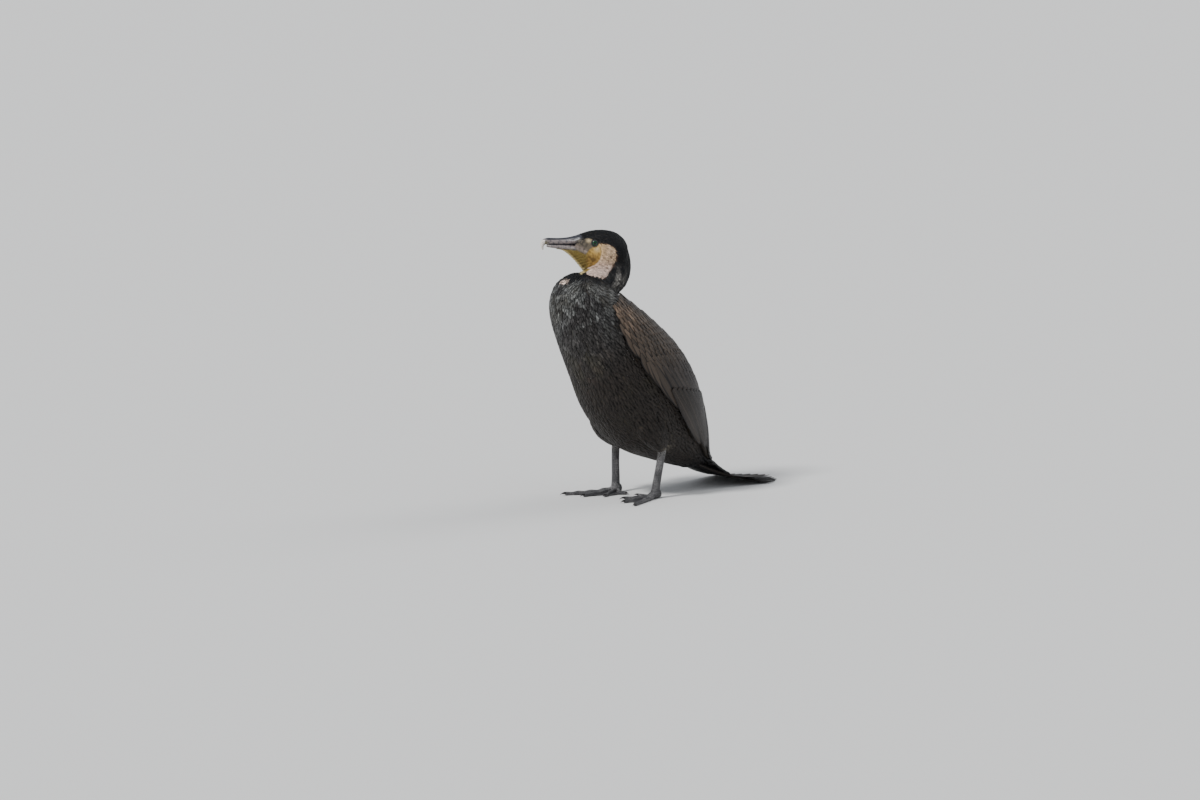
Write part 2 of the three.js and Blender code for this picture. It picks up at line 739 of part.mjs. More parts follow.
// Where two folds of the surface touch at a corner, each is drawn a little back into its own fold.
function partTouchingCorners(points, faces) {
  const around = new Map();
  faces.forEach((face) => face.forEach((v) => {
    if (!around.has(v)) around.set(v, new THREE.Vector3(0, 0, 0));
    face.forEach((w) => around.get(v).add(points[w].clone().sub(points[v])));
  }));
  const here = new Map();
  around.forEach((_, v) => {
    const key = points[v].toArray().map((x) => x.toFixed(3)).join();
    here.set(key, [...(here.get(key) ?? []), v]);
  });
  const drawnBack = 0.05;
  here.forEach((corners) => {
    if (corners.length === 1) return;
    corners.forEach((v) => points[v].addScaledVector(around.get(v).normalize(), drawnBack));
  });
}

// The whole bird

const bird = new THREE.Group();

// Adds the largest closed surface of a solid as a named piece.
function add(name, solid, material, shortest = 0.3) {
  const mesh = largest(solid).getMesh();
  const points = Array.from({ length: mesh.numVert }, (_, i) =>
    new THREE.Vector3().fromArray(mesh.vertProperties, i * mesh.numProp),
  );
  const faces = Array.from({ length: mesh.numTri }, (_, f) =>
    [...mesh.triVerts.subarray(3 * f, 3 * f + 3)],
  );
  const kept = withoutShortEdges(points, faces, shortest);
  partTouchingCorners(points, kept);
  const loose = new THREE.BufferGeometry().setFromPoints(kept.flat().map((v) => points[v]));
  const geometry = mergeVertices(loose, 1e-5);
  geometry.computeVertexNormals();
  const piece = new THREE.Mesh(geometry, new THREE.MeshStandardMaterial(MATERIALS[material]));
  piece.name = name;
  bird.add(piece);
}

const SIDES = [["left", 1], ["right", -1]];
const bothSides = (make) => SIDES.map(([, side]) => make(side));
const trunkRoom = trunk(GAP);
const neckRoom = neck(GAP);
const bills = [upperBill(GAP), lowerBill(GAP)];
const eyes = bothSides((side) => eyeball(side, GAP));
const skull = joined([headShape(), ...bothSides(eyelid)]);
const headCuts = joined([neckRoom, trunkRoom, ...bills, ...eyes, ...bothSides(mouthLine)]);
const wingCuts = joined([trunkRoom, neckRoom, tailRoom()]);

add("torso", trunk(), "plumage");
add("neck", neck().subtract(trunkRoom), "neck");
add("head", skull.subtract(headCuts), "face");
add("bill_upper", upperBill(), "bill");
add("bill_lower", lowerBill().subtract(upperBill(GAP)), "bill");
add("tail", tail().subtract(trunkRoom), "tail", 0.7);
for (const [name, side] of SIDES) {
  const clawRooms = TOES.map((toe) => claw(toe, side, GAP));
  const legRoom = shank(side, GAP);
  add("eye_" + name, eyeball(side), "eye");
  add("wing_" + name, wing(side).subtract(wingCuts), "wing", 1.0);
  add("thigh_" + name, thigh(side).subtract(joined([trunkRoom, legRoom])), "plumage");
  add("shank_" + name, shank(side).subtract(trunkRoom), "leg");
  add("foot_" + name, foot(side).subtract(joined([legRoom, ...clawRooms])), "leg", 0.2);
  TOES.forEach((toe, i) => {
    add("claw_" + name + "_" + (i + 1), claw(toe, side).intersect(ABOVE_FLOOR), "claw", 0.05);
  });
}

// The origin is the middle of the floor that the bird takes up.
const room = new THREE.Box3().setFromObject(bird);
bird.position.set(-(room.min.x + room.max.x) / 2, -(room.min.y + room.max.y) / 2, 0);

export default bird;
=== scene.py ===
import math

import bpy
import numpy as np
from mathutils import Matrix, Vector
from mathutils.bvhtree import BVHTree
from mathutils.kdtree import KDTree


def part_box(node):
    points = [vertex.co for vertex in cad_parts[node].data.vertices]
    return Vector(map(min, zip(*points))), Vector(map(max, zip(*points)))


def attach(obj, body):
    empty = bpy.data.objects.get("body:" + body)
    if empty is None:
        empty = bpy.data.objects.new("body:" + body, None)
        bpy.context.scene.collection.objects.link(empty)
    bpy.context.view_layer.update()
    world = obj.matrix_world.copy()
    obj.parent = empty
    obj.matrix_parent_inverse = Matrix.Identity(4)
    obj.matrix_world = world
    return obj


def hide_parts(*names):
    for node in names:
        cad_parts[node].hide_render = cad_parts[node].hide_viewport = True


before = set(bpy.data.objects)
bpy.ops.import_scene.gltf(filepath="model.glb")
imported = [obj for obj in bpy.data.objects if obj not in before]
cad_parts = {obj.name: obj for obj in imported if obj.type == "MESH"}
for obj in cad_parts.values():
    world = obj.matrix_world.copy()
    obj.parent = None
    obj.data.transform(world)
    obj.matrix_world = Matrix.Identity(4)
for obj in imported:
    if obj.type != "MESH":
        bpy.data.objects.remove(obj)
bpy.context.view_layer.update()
RANDOM = np.random.default_rng(7)

# Driving sizes, the same as in the solids, in millimetres and degrees
EYE = np.array([-22.1, -67.0, 399.6])  # the head's mid-plane at the level of the eyes
HEAD_TURN = 45
EYE_OUT = 15.2
EYE_RADIUS = 6.2
LID_OUT = 4.0  # how far an eyelid lies out from the middle of its eyeball
ANKLE = np.array([51.0, 7.0, 77.0])
FOOT = np.array([43.0, 0.0, 9.0])
FOOT_TURN = 8
TAIL_ROOT = np.array([0.0, 104.0, 46.0])
TAIL_FEATHERS = 14
TAIL_LENGTH = 158
TAIL_FAN = 33
COAT_DEPTH = 1.6  # how far the skin lies inside the solids

# The trunk: forward, up, half width, reach of the back, reach of the belly
TRUNK = [
    (142, 341, 32, 27, 27),
    (127, 320, 50, 45, 46),
    (104, 294, 61, 53, 60),
    (57, 241, 71, 66, 80),
    (10, 187, 78, 78, 96),
    (-36, 134, 73, 72, 86),
    (-84, 84, 52, 48, 50),
    (-120, 52, 32, 22, 24),
    (-146, 38, 22, 9, 11),
]
TRUNK_END = 7.1
BREAST_DOME = 8
# The neck: forward, left, up, half width, reach of its upper and of its lower side
NECK = [
    (121, 0, 308, 27, 28, 27),
    (106, 0, 326, 27, 29, 28),
    (88, 0, 336, 25, 27, 26),
    (66, 0, 339, 24, 25, 25),
    (48, -1, 346, 24, 24.5, 24),
    (40, -3, 364, 23, 24, 24),
    (44, -6, 386, 20, 22, 23),
    (56, -14, 402, 15, 15, 16),
]
# The head: how far towards the bill, top, bottom, level of its widest place, half width
HEAD = [
    (-50, -6, -34, -16, 12),
    (-44, 5, -44, -14, 18.5),
    (-32, 14.5, -50, -13, 22.5),
    (-18, 18.2, -51, -12, 23),
    (-4, 18.8, -51, -10, 20.5),
    (9, 17, -49, -8, 16.5),
    (19, 14, -44, -6, 13.5),
    (26, 10.5, -36, -6, 11.6),
    (31, -5, -30, -12, 9.8),
    (40, -8.5, -21, -13, 7.2),
    (50, -9.5, -13.6, -11.6, 5),
    (60, -9.6, -11.4, -10.6, 3.4),
]
# Each thigh, from inside the body: forward, left, up, half width, reach to the front and to the back
THIGH = [
    (30, 36, 160, 20, 26, 26),
    (22, 44, 128, 24, 30, 30),
    (10, 50, 104, 20, 25, 25),
    (0, 52, 88, 14, 18, 16),
    (-7, 51, 76, 7.5, 9, 8),
]
# The rump and the feathers over the roots of the tail: as the trunk
RUMP = [
    (-100, 62, 30, 17, 19),
    (-122, 50, 31, 14, 17),
    (-146, 37, 29, 10, 13),
    (-172, 22, 25, 6, 7),
    (-196, 13, 16, 2.4, 3),
]

SIDES = [("left", 1), ("right", -1)]
LEFT = np.array([1.0, 0.0, 0.0])
UP = np.array([0.0, 0.0, 1.0])
TURN = math.radians(-HEAD_TURN)
HEAD_FORWARD = np.array([math.sin(TURN), -math.cos(TURN), 0.0])
HEAD_LEFT = np.array([math.cos(TURN), math.sin(TURN), 0.0])


def eyes_middle():
    boxes = [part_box("eye_left"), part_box("eye_right")]
    return sum((np.array(low) + np.array(high) for low, high in boxes), np.zeros(3)) / 4


SHIFT = eyes_middle() - EYE / 1000


# Sums on many points at once
def unit(v):
    return v / np.maximum(np.linalg.norm(v, axis=-1, keepdims=True), 1e-9)


def dot(a, b):
    return np.sum(a * b, axis=-1)


def smooth(x, low, high):
    t = np.clip((x - low) / (high - low), 0, 1)
    return t * t * (3 - 2 * t)


def bell(x):
    return np.exp(-(x**2))


def mix(a, b, t):
    return a + (b - a) * t


def flat_on(v, normals):
    """Each vector turned to lie flat on the surface with that normal."""
    return unit(v - normals * dot(v, normals)[..., None])


def round_angles(count):
    return np.linspace(0, 2 * np.pi, count, endpoint=False)


def path_of(rows, side=1):
    """The points of a path from rows that begin with forward, left and up."""
    return [(left * side, -forward, up) for forward, left, up, *_ in rows]


def spline(rows):
    """A smooth curve through rows of numbers. It is read at a station that need not be whole."""
    points = np.array(rows, float)
    last = len(points) - 1
    padded = np.vstack([2 * points[0] - points[1], points, 2 * points[-1] - points[-2]])

    def read(station):
        station = np.clip(np.asarray(station, float), 0, last)
        i = np.minimum(station.astype(int), last - 1)
        t = (station - i)[..., None]
        a, b, c, d = (padded[i + k] for k in range(4))
        square = 2 * a - 5 * b + 4 * c - d
        cube = 3 * b - a - 3 * c + d
        return 0.5 * (2 * b + (c - a) * t + square * t**2 + cube * t**3)

    return read


def oval(middle, side, top, size, angle, power=2.0):
    """A point on an oval of unequal halves: size is half width, upper reach and lower reach."""
    c, s = np.cos(angle), np.sin(angle)
    across = np.sign(c) * np.abs(c) ** (2 / power) * size[..., 0]
    high = np.sign(s) * np.abs(s) ** (2 / power) * np.where(s > 0, size[..., 1], size[..., 2])
    return middle + side * across[..., None] + top * high[..., None]


def tube(path, sizes, side, rings, around, grow=0.0):
    """Rings of points round a path, each an oval: the upper half is where side x along points."""
    line, size = spline(path), spline(sizes)
    station = np.linspace(0, len(path) - 1, rings)[:, None]
    along = unit(line(station + 0.002) - line(station - 0.002))
    top = unit(np.cross(side, along))
    across = np.cross(along, top)
    angle = round_angles(around)[None, :]
    middle = line(station)
    middle[0] -= along[0] * grow
    middle[-1] += along[-1] * grow
    return oval(middle, across, top, np.maximum(size(station) + grow, 0.05), angle)


# Meshes
def to_frame(points):
    return np.asarray(points, float) / 1000 + SHIFT


def shade_smooth(mesh):
    mesh.polygons.foreach_set("use_smooth", np.full(len(mesh.polygons), True))


def added(name, data):
    """A new object in the scene."""
    thing = bpy.data.objects.new(name, data)
    bpy.context.scene.collection.objects.link(thing)
    return thing


def mesh_object(name, points, faces, material):
    """An object in the frame, from points in millimetres."""
    mesh = bpy.data.meshes.new(name)
    mesh.from_pydata(to_frame(points).tolist(), [], faces)
    mesh.materials.append(material)
    shade_smooth(mesh)
    mesh.update()
    return added(name, mesh)


def ring_faces(rings, around, start=0):
    """The faces of a closed tube of rings, with a fan at each end round an added middle point."""
    faces = []
    for r in range(rings - 1):
        for i in range(around):
            a = start + r * around + i
            b = start + r * around + (i + 1) % around
            faces.append((a, b, b + around, a + around))
    first, last = start + rings * around, start + rings * around + 1
    base = start + (rings - 1) * around
    for i in range(around):
        faces.append((first, start + (i + 1) % around, start + i))
        faces.append((last, base + i, base + (i + 1) % around))
    return faces


def loft_data(rings, start=0):
    count, around = rings.shape[:2]
    points = np.vstack([rings.reshape(-1, 3), rings[0].mean(0), rings[-1].mean(0)])
    return points, ring_faces(count, around, start)


def joined(lofts):
    points, faces, start = [], [], 0
    for rings in lofts:
        p, f = loft_data(rings, start)
        points.append(p)
        faces += f
        start += len(p)
    return np.vstack(points), faces


def made_one(piece, voxel, rounds):
    """Melts a piece's crossing forms into one smooth closed surface."""
    remesh = piece.modifiers.new("melt", "REMESH")
    remesh.mode = "VOXEL"
    remesh.voxel_size = voxel / 1000
    relax = piece.modifiers.new("relax", "SMOOTH")
    relax.factor = 0.5
    relax.iterations = rounds
    evaluated = piece.evaluated_get(bpy.context.evaluated_depsgraph_get())
    mesh = bpy.data.meshes.new_from_object(evaluated)
    piece.modifiers.clear()
    piece.data = mesh
    shade_smooth(mesh)


def vectors_of(piece, what):
    found = np.empty(len(piece.data.vertices) * 3, np.float32)
    piece.data.vertices.foreach_get(what, found)
    return found.reshape(-1, 3).astype(float)


def points_of(piece):
    return (vectors_of(piece, "co") - SHIFT) * 1000


def move_points(piece, points):
    piece.data.vertices.foreach_set("co", to_frame(points).astype(np.float32).ravel())
    piece.data.update()


def paint(piece, name, colours):
    """Stores a colour for each point of a piece."""
    layer = piece.data.color_attributes.new(name, "FLOAT_COLOR", "POINT")
    rgba = np.ones((len(colours), 4), np.float32)
    rgba[:, :3] = colours
    layer.data.foreach_set("color", rgba.ravel())


def store(piece, name, values):
    layer = piece.data.attributes.new(name, "FLOAT", "POINT")
    layer.data.foreach_set("value", np.asarray(values, np.float32))


def map_points(piece, name, uv):
    """A UV map that gives each corner the place of its point."""
    layer = piece.data.uv_layers.new(name=name)
    corner = np.empty(len(piece.data.loops), np.int32)
    piece.data.loops.foreach_get("vertex_index", corner)
    layer.data.foreach_set("uv", np.asarray(uv, np.float32)[corner].ravel())


def finished(piece, slot, *nodes):
    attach(piece, "root")
    if nodes:
        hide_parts(*nodes)


# Materials
class Shader:
    """A material's nodes, with short calls to add and join them."""

    def __init__(self, name, **constants):
        self.material = bpy.data.materials.new(name)
        self.material.use_nodes = True
        self.tree = self.material.node_tree
        self.surface = self.tree.nodes["Principled BSDF"]
        for socket, value in constants.items():
            self.surface.inputs[socket.replace("_", " ")].default_value = value

    def node(self, kind, **values):
        made = self.tree.nodes.new(kind)
        for key, value in values.items():
            setattr(made, key, value)
        return made

    def join(self, output, socket):
        self.tree.links.new(output, socket)

    def attribute(self, name):
        return self.node("ShaderNodeAttribute", attribute_name=name)

    def math(self, operation, a, b=None, c=None):
        made = self.node("ShaderNodeMath", operation=operation)
        for i, value in enumerate([a, b, c]):
            if value is None:
                continue
            if isinstance(value, (int, float)):
                made.inputs[i].default_value = value
            else:
                self.join(value, made.inputs[i])
        return made.outputs[0]

    def step(self, value, low, high):
        made = self.node("ShaderNodeMapRange", interpolation_type="SMOOTHSTEP")
        self.join(value, made.inputs["Value"])
        made.inputs["From Min"].default_value = low
        made.inputs["From Max"].default_value = high
        return made.outputs["Result"]

    def colours(self, factor, a, b, blend="MIX"):
        made = self.node("ShaderNodeMix", data_type="RGBA", blend_type=blend)
        for value, socket in [(factor, made.inputs[0]), (a, made.inputs[6]), (b, made.inputs[7])]:
            if isinstance(value, (int, float)):
                socket.default_value = value
            elif isinstance(value, tuple):
                socket.default_value = (*value, 1)
            else:
                self.join(value, socket)
        return made.outputs[2]

    def texture(self, made, scale):
        made.inputs["Scale"].default_value = scale
        self.join(self.node("ShaderNodeTexCoord").outputs["Object"], made.inputs["Vector"])

    def noise(self, scale, detail=3.0):
        made = self.node("ShaderNodeTexNoise")
        made.inputs["Detail"].default_value = detail
        self.texture(made, scale)
        return made.outputs["Fac"]

    def cells(self, scale):
        made = self.node("ShaderNodeTexVoronoi", feature="DISTANCE_TO_EDGE")
        self.texture(made, scale)
        return made.outputs["Distance"]

    def bump(self, height, distance, strength):
        """Bumps as deep as a distance in millimetres."""
        made = self.node("ShaderNodeBump")
        made.inputs["Strength"].default_value = strength
        made.inputs["Distance"].default_value = distance / 1000
        self.join(height, made.inputs["Height"])
        return made.outputs["Normal"]

    def finish(self, colour=None, normal=None, roughness=None):
        for value, socket in [(colour, "Base Color"), (normal, "Normal"), (roughness, "Roughness")]:
            if value is not None:
                self.join(value, self.surface.inputs[socket])
        return self.material


def feather_material(name, edge, edge_from, shaft, roughness, barbs, tip_power=6.0):
    """A vane: its tint darkens to its edge and lightens along its shaft, and fine barbs run out."""
    s = Shader(name, Roughness=roughness, Specular_IOR_Level=0.2)
    place = s.node("ShaderNodeUVMap", uv_map="Vane")
    parts = s.node("ShaderNodeSeparateXYZ")
    s.join(place.outputs[0], parts.inputs[0])
    out = s.math("MULTIPLY", s.math("ABSOLUTE", s.math("SUBTRACT", parts.outputs[0], 0.5)), 2.0)
    tip = s.math("POWER", parts.outputs[1], tip_power)
    rim = s.math("MAXIMUM", out, tip)
    tint = s.attribute("Tint").outputs["Color"]
    dark = s.math("MULTIPLY", s.step(rim, edge_from, 0.95), edge)
    colour = s.colours(dark, tint, (0.0055, 0.006, 0.007))
    rachis = s.math("SUBTRACT", 1.0, s.step(out, 0.03, 0.09))
    colour = s.colours(s.math("MULTIPLY", rachis, shaft), colour, (0.16, 0.125, 0.10))
    slant = s.math("ADD", s.math("MULTIPLY", out, -0.35), parts.outputs[1])
    ribs = s.math("SINE", s.math("MULTIPLY", slant, barbs))
    mottle = s.noise(900.0, 2.0)
    height = s.math("ADD", s.math("MULTIPLY", ribs, 0.5), mottle)
    shade = s.colours(s.math("MULTIPLY", mottle, 0.5), colour, (0.5, 0.5, 0.5), "OVERLAY")
    return s.finish(shade, s.bump(height, 0.12, 0.7))


def skin_material():
    s = Shader("skin", Roughness=0.55, Specular_IOR_Level=0.25)
    tint = s.attribute("Tint").outputs["Color"]
    bare = s.attribute("Bare").outputs["Fac"]
    pits = s.cells(700.0)
    folds = s.noise(420.0, 4.0)
    colour = s.colours(s.math("MULTIPLY", s.step(pits, 0.12, 0.0), 0.35), tint, (0.10, 0.07, 0.03))
    height = s.math("MULTIPLY", s.math("ADD", s.step(pits, 0.0, 0.3), folds), bare)
    return s.finish(colour, s.bump(height, 0.35, 0.8))


def bill_material():
    s = Shader("horn of the bill", Specular_IOR_Level=0.5, Coat_Weight=0.15, Coat_Roughness=0.3)
    tint = s.attribute("Tint").outputs["Color"]
    flecks = s.noise(650.0, 5.0)
    colour = s.colours(s.math("MULTIPLY", s.step(flecks, 0.5, 0.68), 0.55), tint, (0.045, 0.038, 0.036))
    height = s.math("ADD", s.noise(1500.0), flecks)
    roughness = s.math("MULTIPLY_ADD", flecks, 0.25, 0.25)
    return s.finish(colour, s.bump(height, 0.18, 0.6), roughness)


def leg_material():
    s = Shader("scaly skin of the legs", Roughness=0.5, Specular_IOR_Level=0.5)
    tint = s.attribute("Tint").outputs["Color"]
    lie = s.attribute("Lie").outputs["Fac"]
    scutes = s.math("ABSOLUTE", s.math("SINE", s.math("MULTIPLY", lie, math.pi / 2.6)))
    plates = s.cells(520.0)
    seam = s.math("MINIMUM", s.step(scutes, 0.0, 0.35), s.step(plates, 0.0, 0.16))
    colour = s.colours(s.math("SUBTRACT", 1.0, seam), tint, (0.012, 0.012, 0.013))
    colour = s.colours(s.math("MULTIPLY", s.noise(180.0), 0.6), colour, (0.5, 0.5, 0.5), "OVERLAY")
    return s.finish(colour, s.bump(seam, 0.35, 0.9))


def claw_material():
    s = Shader("claw horn", Base_Color=(0.014, 0.012, 0.012, 1), Roughness=0.32, Specular_IOR_Level=0.5)
    return s.finish(None, s.bump(s.noise(900.0), 0.08, 0.5))


def eye_material():
    """A green jewel of an eye with a dark pupil, wet all over. Rim is 0 at the pupil's middle."""
    s = Shader("eye", Roughness=0.1, Specular_IOR_Level=0.2, Coat_Weight=0.4, Coat_Roughness=0.02)
    rim = s.attribute("Rim").outputs["Fac"]
    facets = s.cells(2600.0)
    iris = s.colours(s.step(facets, 0.02, 0.22), (0.002, 0.022, 0.010), (0.010, 0.14, 0.045))
    iris = s.colours(s.step(rim, 0.36, 0.62), iris, (0.002, 0.016, 0.010))
    colour = s.colours(s.step(rim, 0.33, 0.36), (0.001, 0.001, 0.001), iris)
    return s.finish(s.colours(s.step(rim, 0.66, 0.72), colour, (0.004, 0.004, 0.005)))


def lid_material():
    s = Shader("eyelid", Base_Color=(0.022, 0.021, 0.024, 1), Roughness=0.45)
    return s.finish(None, s.bump(s.cells(1600.0), 0.2, 0.8))


def floor_material():
    return Shader("floor", Base_Color=(0.76, 0.755, 0.74, 1), Roughness=0.8).material


# The trunk and the folded wing on it, as surfaces
trunk_line = spline([(0, -forward, up) for forward, up, *_ in TRUNK])
trunk_size = spline([row[2:] for row in TRUNK])
WING_FROM, WING_TO, WING_LIFT = 1.75, 7.95, 7


def trunk_axes(station):
    along = unit(trunk_line(station + 0.02) - trunk_line(station - 0.02))
    return along, np.cross(LEFT, along)


def trunk_point(station, degrees, lift=0.0):
    station, degrees, lift = np.broadcast_arrays(station, degrees, lift)
    _, back = trunk_axes(station)
    size = trunk_size(station) + lift[..., None]
    return oval(trunk_line(station), LEFT, back, size, np.radians(degrees), 2.1)


def nearest_of(points, middles):
    """Which of the middles lies nearest to each point, worked out a part of the points at a time."""
    return np.concatenate([
        np.linalg.norm(part[:, None] - middles[None], axis=2).argmin(1)
        for part in np.array_split(points, 40)
    ])


def trunk_place(points):
    """The station, the angle and the share of its reach at which each point lies in the trunk."""
    stations = np.linspace(0, len(TRUNK) - 1, 241)
    middles = trunk_line(stations)
    nearest = nearest_of(points, middles)
    station = stations[nearest]
    _, back = trunk_axes(station)
    size = trunk_size(station)
    x, y = dot(points - middles[nearest], LEFT), dot(points - middles[nearest], back)
    across = np.abs(x) / size[:, 0]
    high = np.abs(y) / np.where(y > 0, size[:, 1], size[:, 2])
    degrees = np.degrees(np.arctan2(np.sign(y) * high**1.05, np.sign(x) * across**1.05))
    return station, degrees, np.hypot(across, high)


def wing_point(s, d, lift=0.0):
    swell = WING_LIFT * np.minimum(1, np.minimum(s * 5, (1.25 - s) * 2.2))
    return trunk_point(mix(WING_FROM, WING_TO, s), d, swell + lift)


def wing_normal(s, d):
    down = wing_point(s + 0.01, d) - wing_point(s - 0.01, d)
    over = wing_point(s, d + 1.0) - wing_point(s, d - 1.0)
    return unit(np.cross(over, down))


def wing_edges(s):
    """The lower and the upper angle of the folded wing at s along it."""
    opened = np.sqrt(np.clip(1 - (1 - np.minimum(1, s / 0.16)) ** 2, 0, 1))
    close = np.sqrt(np.maximum(0.04, 1 - (np.maximum(0, s - 0.86) / 0.14) ** 2))
    low = mix(38, mix(-9, 6, s), opened)
    high = mix(48, np.minimum(87, 66 + 60 * s), opened)
    return mix(44, low, close), high


# The skin: one smooth form for the head, neck, trunk, thighs and rump
def on_head(a, b):
    """A place in the head's mid-plane, a towards the bill and b up from the level of the eyes."""
    return EYE + HEAD_FORWARD * np.asarray(a)[..., None] + UP * np.asarray(b)[..., None]


HEAD_MIDDLE = on_head(-8, -14)
NECK_BEND = np.array([0, -55, 365])


def distance_to(points, place):
    return np.linalg.norm(points - place, axis=1)


def head_place(points):
    """Each point in the head's terms: a towards the bill, b up and m out to the left."""
    away = points - EYE
    return dot(away, HEAD_FORWARD), dot(away, UP), dot(away, HEAD_LEFT)


def trunk_loft(grow):
    station = np.linspace(0, TRUNK_END, 60)[:, None]
    rings = trunk_point(station, np.linspace(0, 360, 64, endpoint=False)[None, :], grow)
    dome = BREAST_DOME + grow
    crown = trunk_line(0.0) + np.array([0, -dome, dome])
    tip = mix(rings[0], crown, 0.6)
    return np.concatenate([tip[None], rings])


def limb_loft(rows, side, rings, around, grow=0.0):
    """A tube from rows of forward, left, up, half width and reach to either side of its path."""
    return tube(path_of(rows, side), [row[3:] for row in rows], LEFT, rings, around, grow)


def head_loft(grow):
    line = spline(HEAD)
    rows = line(np.linspace(0, len(HEAD) - 1, 80))
    angle = round_angles(48)
    power = np.where(np.sin(angle) < 0, 1.75, 2.1)
    rings = []
    for a, top, bottom, level, wide in rows:
        size = np.maximum(np.array([wide, top - level, level - bottom]) + grow, 0.4)
        rings.append(oval(on_head(a, level), HEAD_LEFT, UP, size, angle, power))
    return np.array(rings)


def skin_form():
    lofts = [trunk_loft(-COAT_DEPTH), limb_loft(NECK, 1, 60, 48, -1.0), head_loft(-0.5)]
    lofts += [limb_loft(THIGH, side, 20, 32, -1.0) for _, side in SIDES]
    rump = [(forward, 0, *rest) for forward, *rest in RUMP]
    lofts.append(limb_loft(rump, 1, 24, 40, -1.2))
    points, faces = joined(lofts)
    skin = mesh_object("skin", points, faces, skin_material())
    made_one(skin, 1.15, 6)
    carve_face(skin)
    return skin


def line_distance(x, y, corners):
    """How far each place is from a bent line on the side of the head."""
    best = np.full(np.shape(x), 1e9)
    for (x0, y0), (x1, y1) in zip(corners, corners[1:]):
        dx, dy = x1 - x0, y1 - y0
        t = np.clip(((x - x0) * dx + (y - y0) * dy) / (dx * dx + dy * dy), 0, 1)
        best = np.minimum(best, np.hypot(x - x0 - t * dx, y - y0 - t * dy))
    return best


GAPE = [(34, -7.4), (24, -9.4), (13, -12.6), (3, -17)]


def carve_face(skin):
    """The mouth line, the sockets, the brows and the slack folds of the throat pouch."""
    points, normals = points_of(skin), vectors_of(skin, "normal")
    a, b, _ = head_place(points)
    near = (distance_to(points, EYE) < 75) & (a > -30)
    mouth = bell(line_distance(a, b, GAPE) / 1.1)
    socket = bell((np.hypot(a, b) - 6.6) / 1.8)
    brow = bell(np.hypot((a - 1) / 9, (b - 7.5) / 2.2))
    pouch = smooth(a, -2, 6) * smooth(-b, 14, 20)
    folds = np.sin((b * 0.9 + a * 0.5) * 1.3 + 2.2 * mottled(points, 9)) * 0.25 * pouch
    neck_fold = 4.0 * near_place(points, (-2, -106, 352), 26) * smooth(points[:, 2], 335, 350)
    shift = (-0.9 * mouth - 0.55 * socket + 0.8 * brow + folds) * near + neck_fold * (b < -40)
    move_points(skin, points + normals * shift[:, None])


# Markings and painted light, the same for the skin and for the feathers on it
def near_place(points, centre, reach):
    return bell(distance_to(points, centre) / reach)


def bare_skin(points):
    """1 on the naked skin of the lores and of the pouch, 0 where feathers grow."""
    a, b, _ = head_place(points)
    head = distance_to(points, EYE) < 78
    behind = np.interp(
        b,
        [-50, -44, -42, -38.5, -34, -30, -25, -13, -6, -1, 4, 6, 8],
        [40, 24, 17, 9, 0.5, -4, -7.5, -10.4, -9, -6, -2, 4, 15],
    )
    crown = np.interp(a, [-2, 4, 14, 24.5, 30], [4, 7.6, 7, 3.6, 2.5])
    under = np.interp(a, [row[0] for row in HEAD], [row[2] for row in HEAD])
    inside = head & (b < crown) & (b > np.maximum(under - 1.5, -43))
    return np.where(inside, smooth(a - behind, -0.6, 0.6), 0.0)


def cheek(points):
    """1 on the pale feathered patch behind the pouch."""
    a, b, _ = head_place(points)
    head = distance_to(points, EYE) < 72
    back = np.interp(b, [-56, -46, -37, -26, -14, -6, -1, 2], [-12, -19, -25, -31.5, -34, -30, -20, -7])
    ragged = mottled(points, 6) * 1.8
    patch = smooth(a - back + ragged, -1.2, 1.2) * smooth(b + ragged * 0.5, 1.5, -1.0)
    return np.where(head & (a < 12) & (b > -51), patch * (1 - bare_skin(points)), 0.0)


def mottled(points, size):
    """A soft random pattern in space, from -1 to 1, of about that size in millimetres."""
    waves = np.random.default_rng(11).normal(size=(14, 3)) * (2 * np.pi / size) * 0.45
    phases = np.arange(14) * 2.4
    return np.clip(np.sin(points @ waves.T + phases).sum(1) / 4.2, -1, 1)


BLACK = np.array([0.0065, 0.0065, 0.0075])
NECK_BLACK = np.array([0.0048, 0.0058, 0.0078])
BELLY = np.array([0.0155, 0.0125, 0.0105])
BREAST = np.array([0.032, 0.032, 0.033])
# Painted sheen: the silvery light on the feathers of the upper breast
BREAST_SHEEN = np.array([0.115, 0.118, 0.114])
OLIVE = np.array([0.030, 0.027, 0.019])
RUSTY = np.array([0.034, 0.021, 0.015])
# Painted sheen: the grey light on the sides of the black neck
NECK_SHEEN = np.array([0.19, 0.18, 0.165])
CUFF = np.array([0.30, 0.27, 0.21])
CREAM = np.array([0.68, 0.49, 0.32])
PINK_WHITE = np.array([0.80, 0.62, 0.52])
FLECK = np.array([0.085, 0.045, 0.028])
GOLD = np.array([0.50, 0.31, 0.075])
OCHRE = np.array([0.13, 0.072, 0.016])
POUCH = np.array([0.175, 0.125, 0.026])
POUCH_EDGE = np.array([0.62, 0.50, 0.24])
LORES = np.array([0.115, 0.096, 0.07])
LORES_DARK = np.array([0.028, 0.024, 0.022])
LILAC = np.array([0.27, 0.215, 0.19])
BUFF = np.array([0.62, 0.48, 0.27])


def blend(colours, colour, amount):
    return mix(colours, colour, np.clip(amount, 0, 1)[:, None])


def layered(points, base, layers):
    """A base colour at each point, with each layer's colour laid over it by the layer's amount."""
    colours = np.broadcast_to(base, points.shape)
    for colour, amount in layers:
        colours = blend(colours, colour, amount)
    return colours


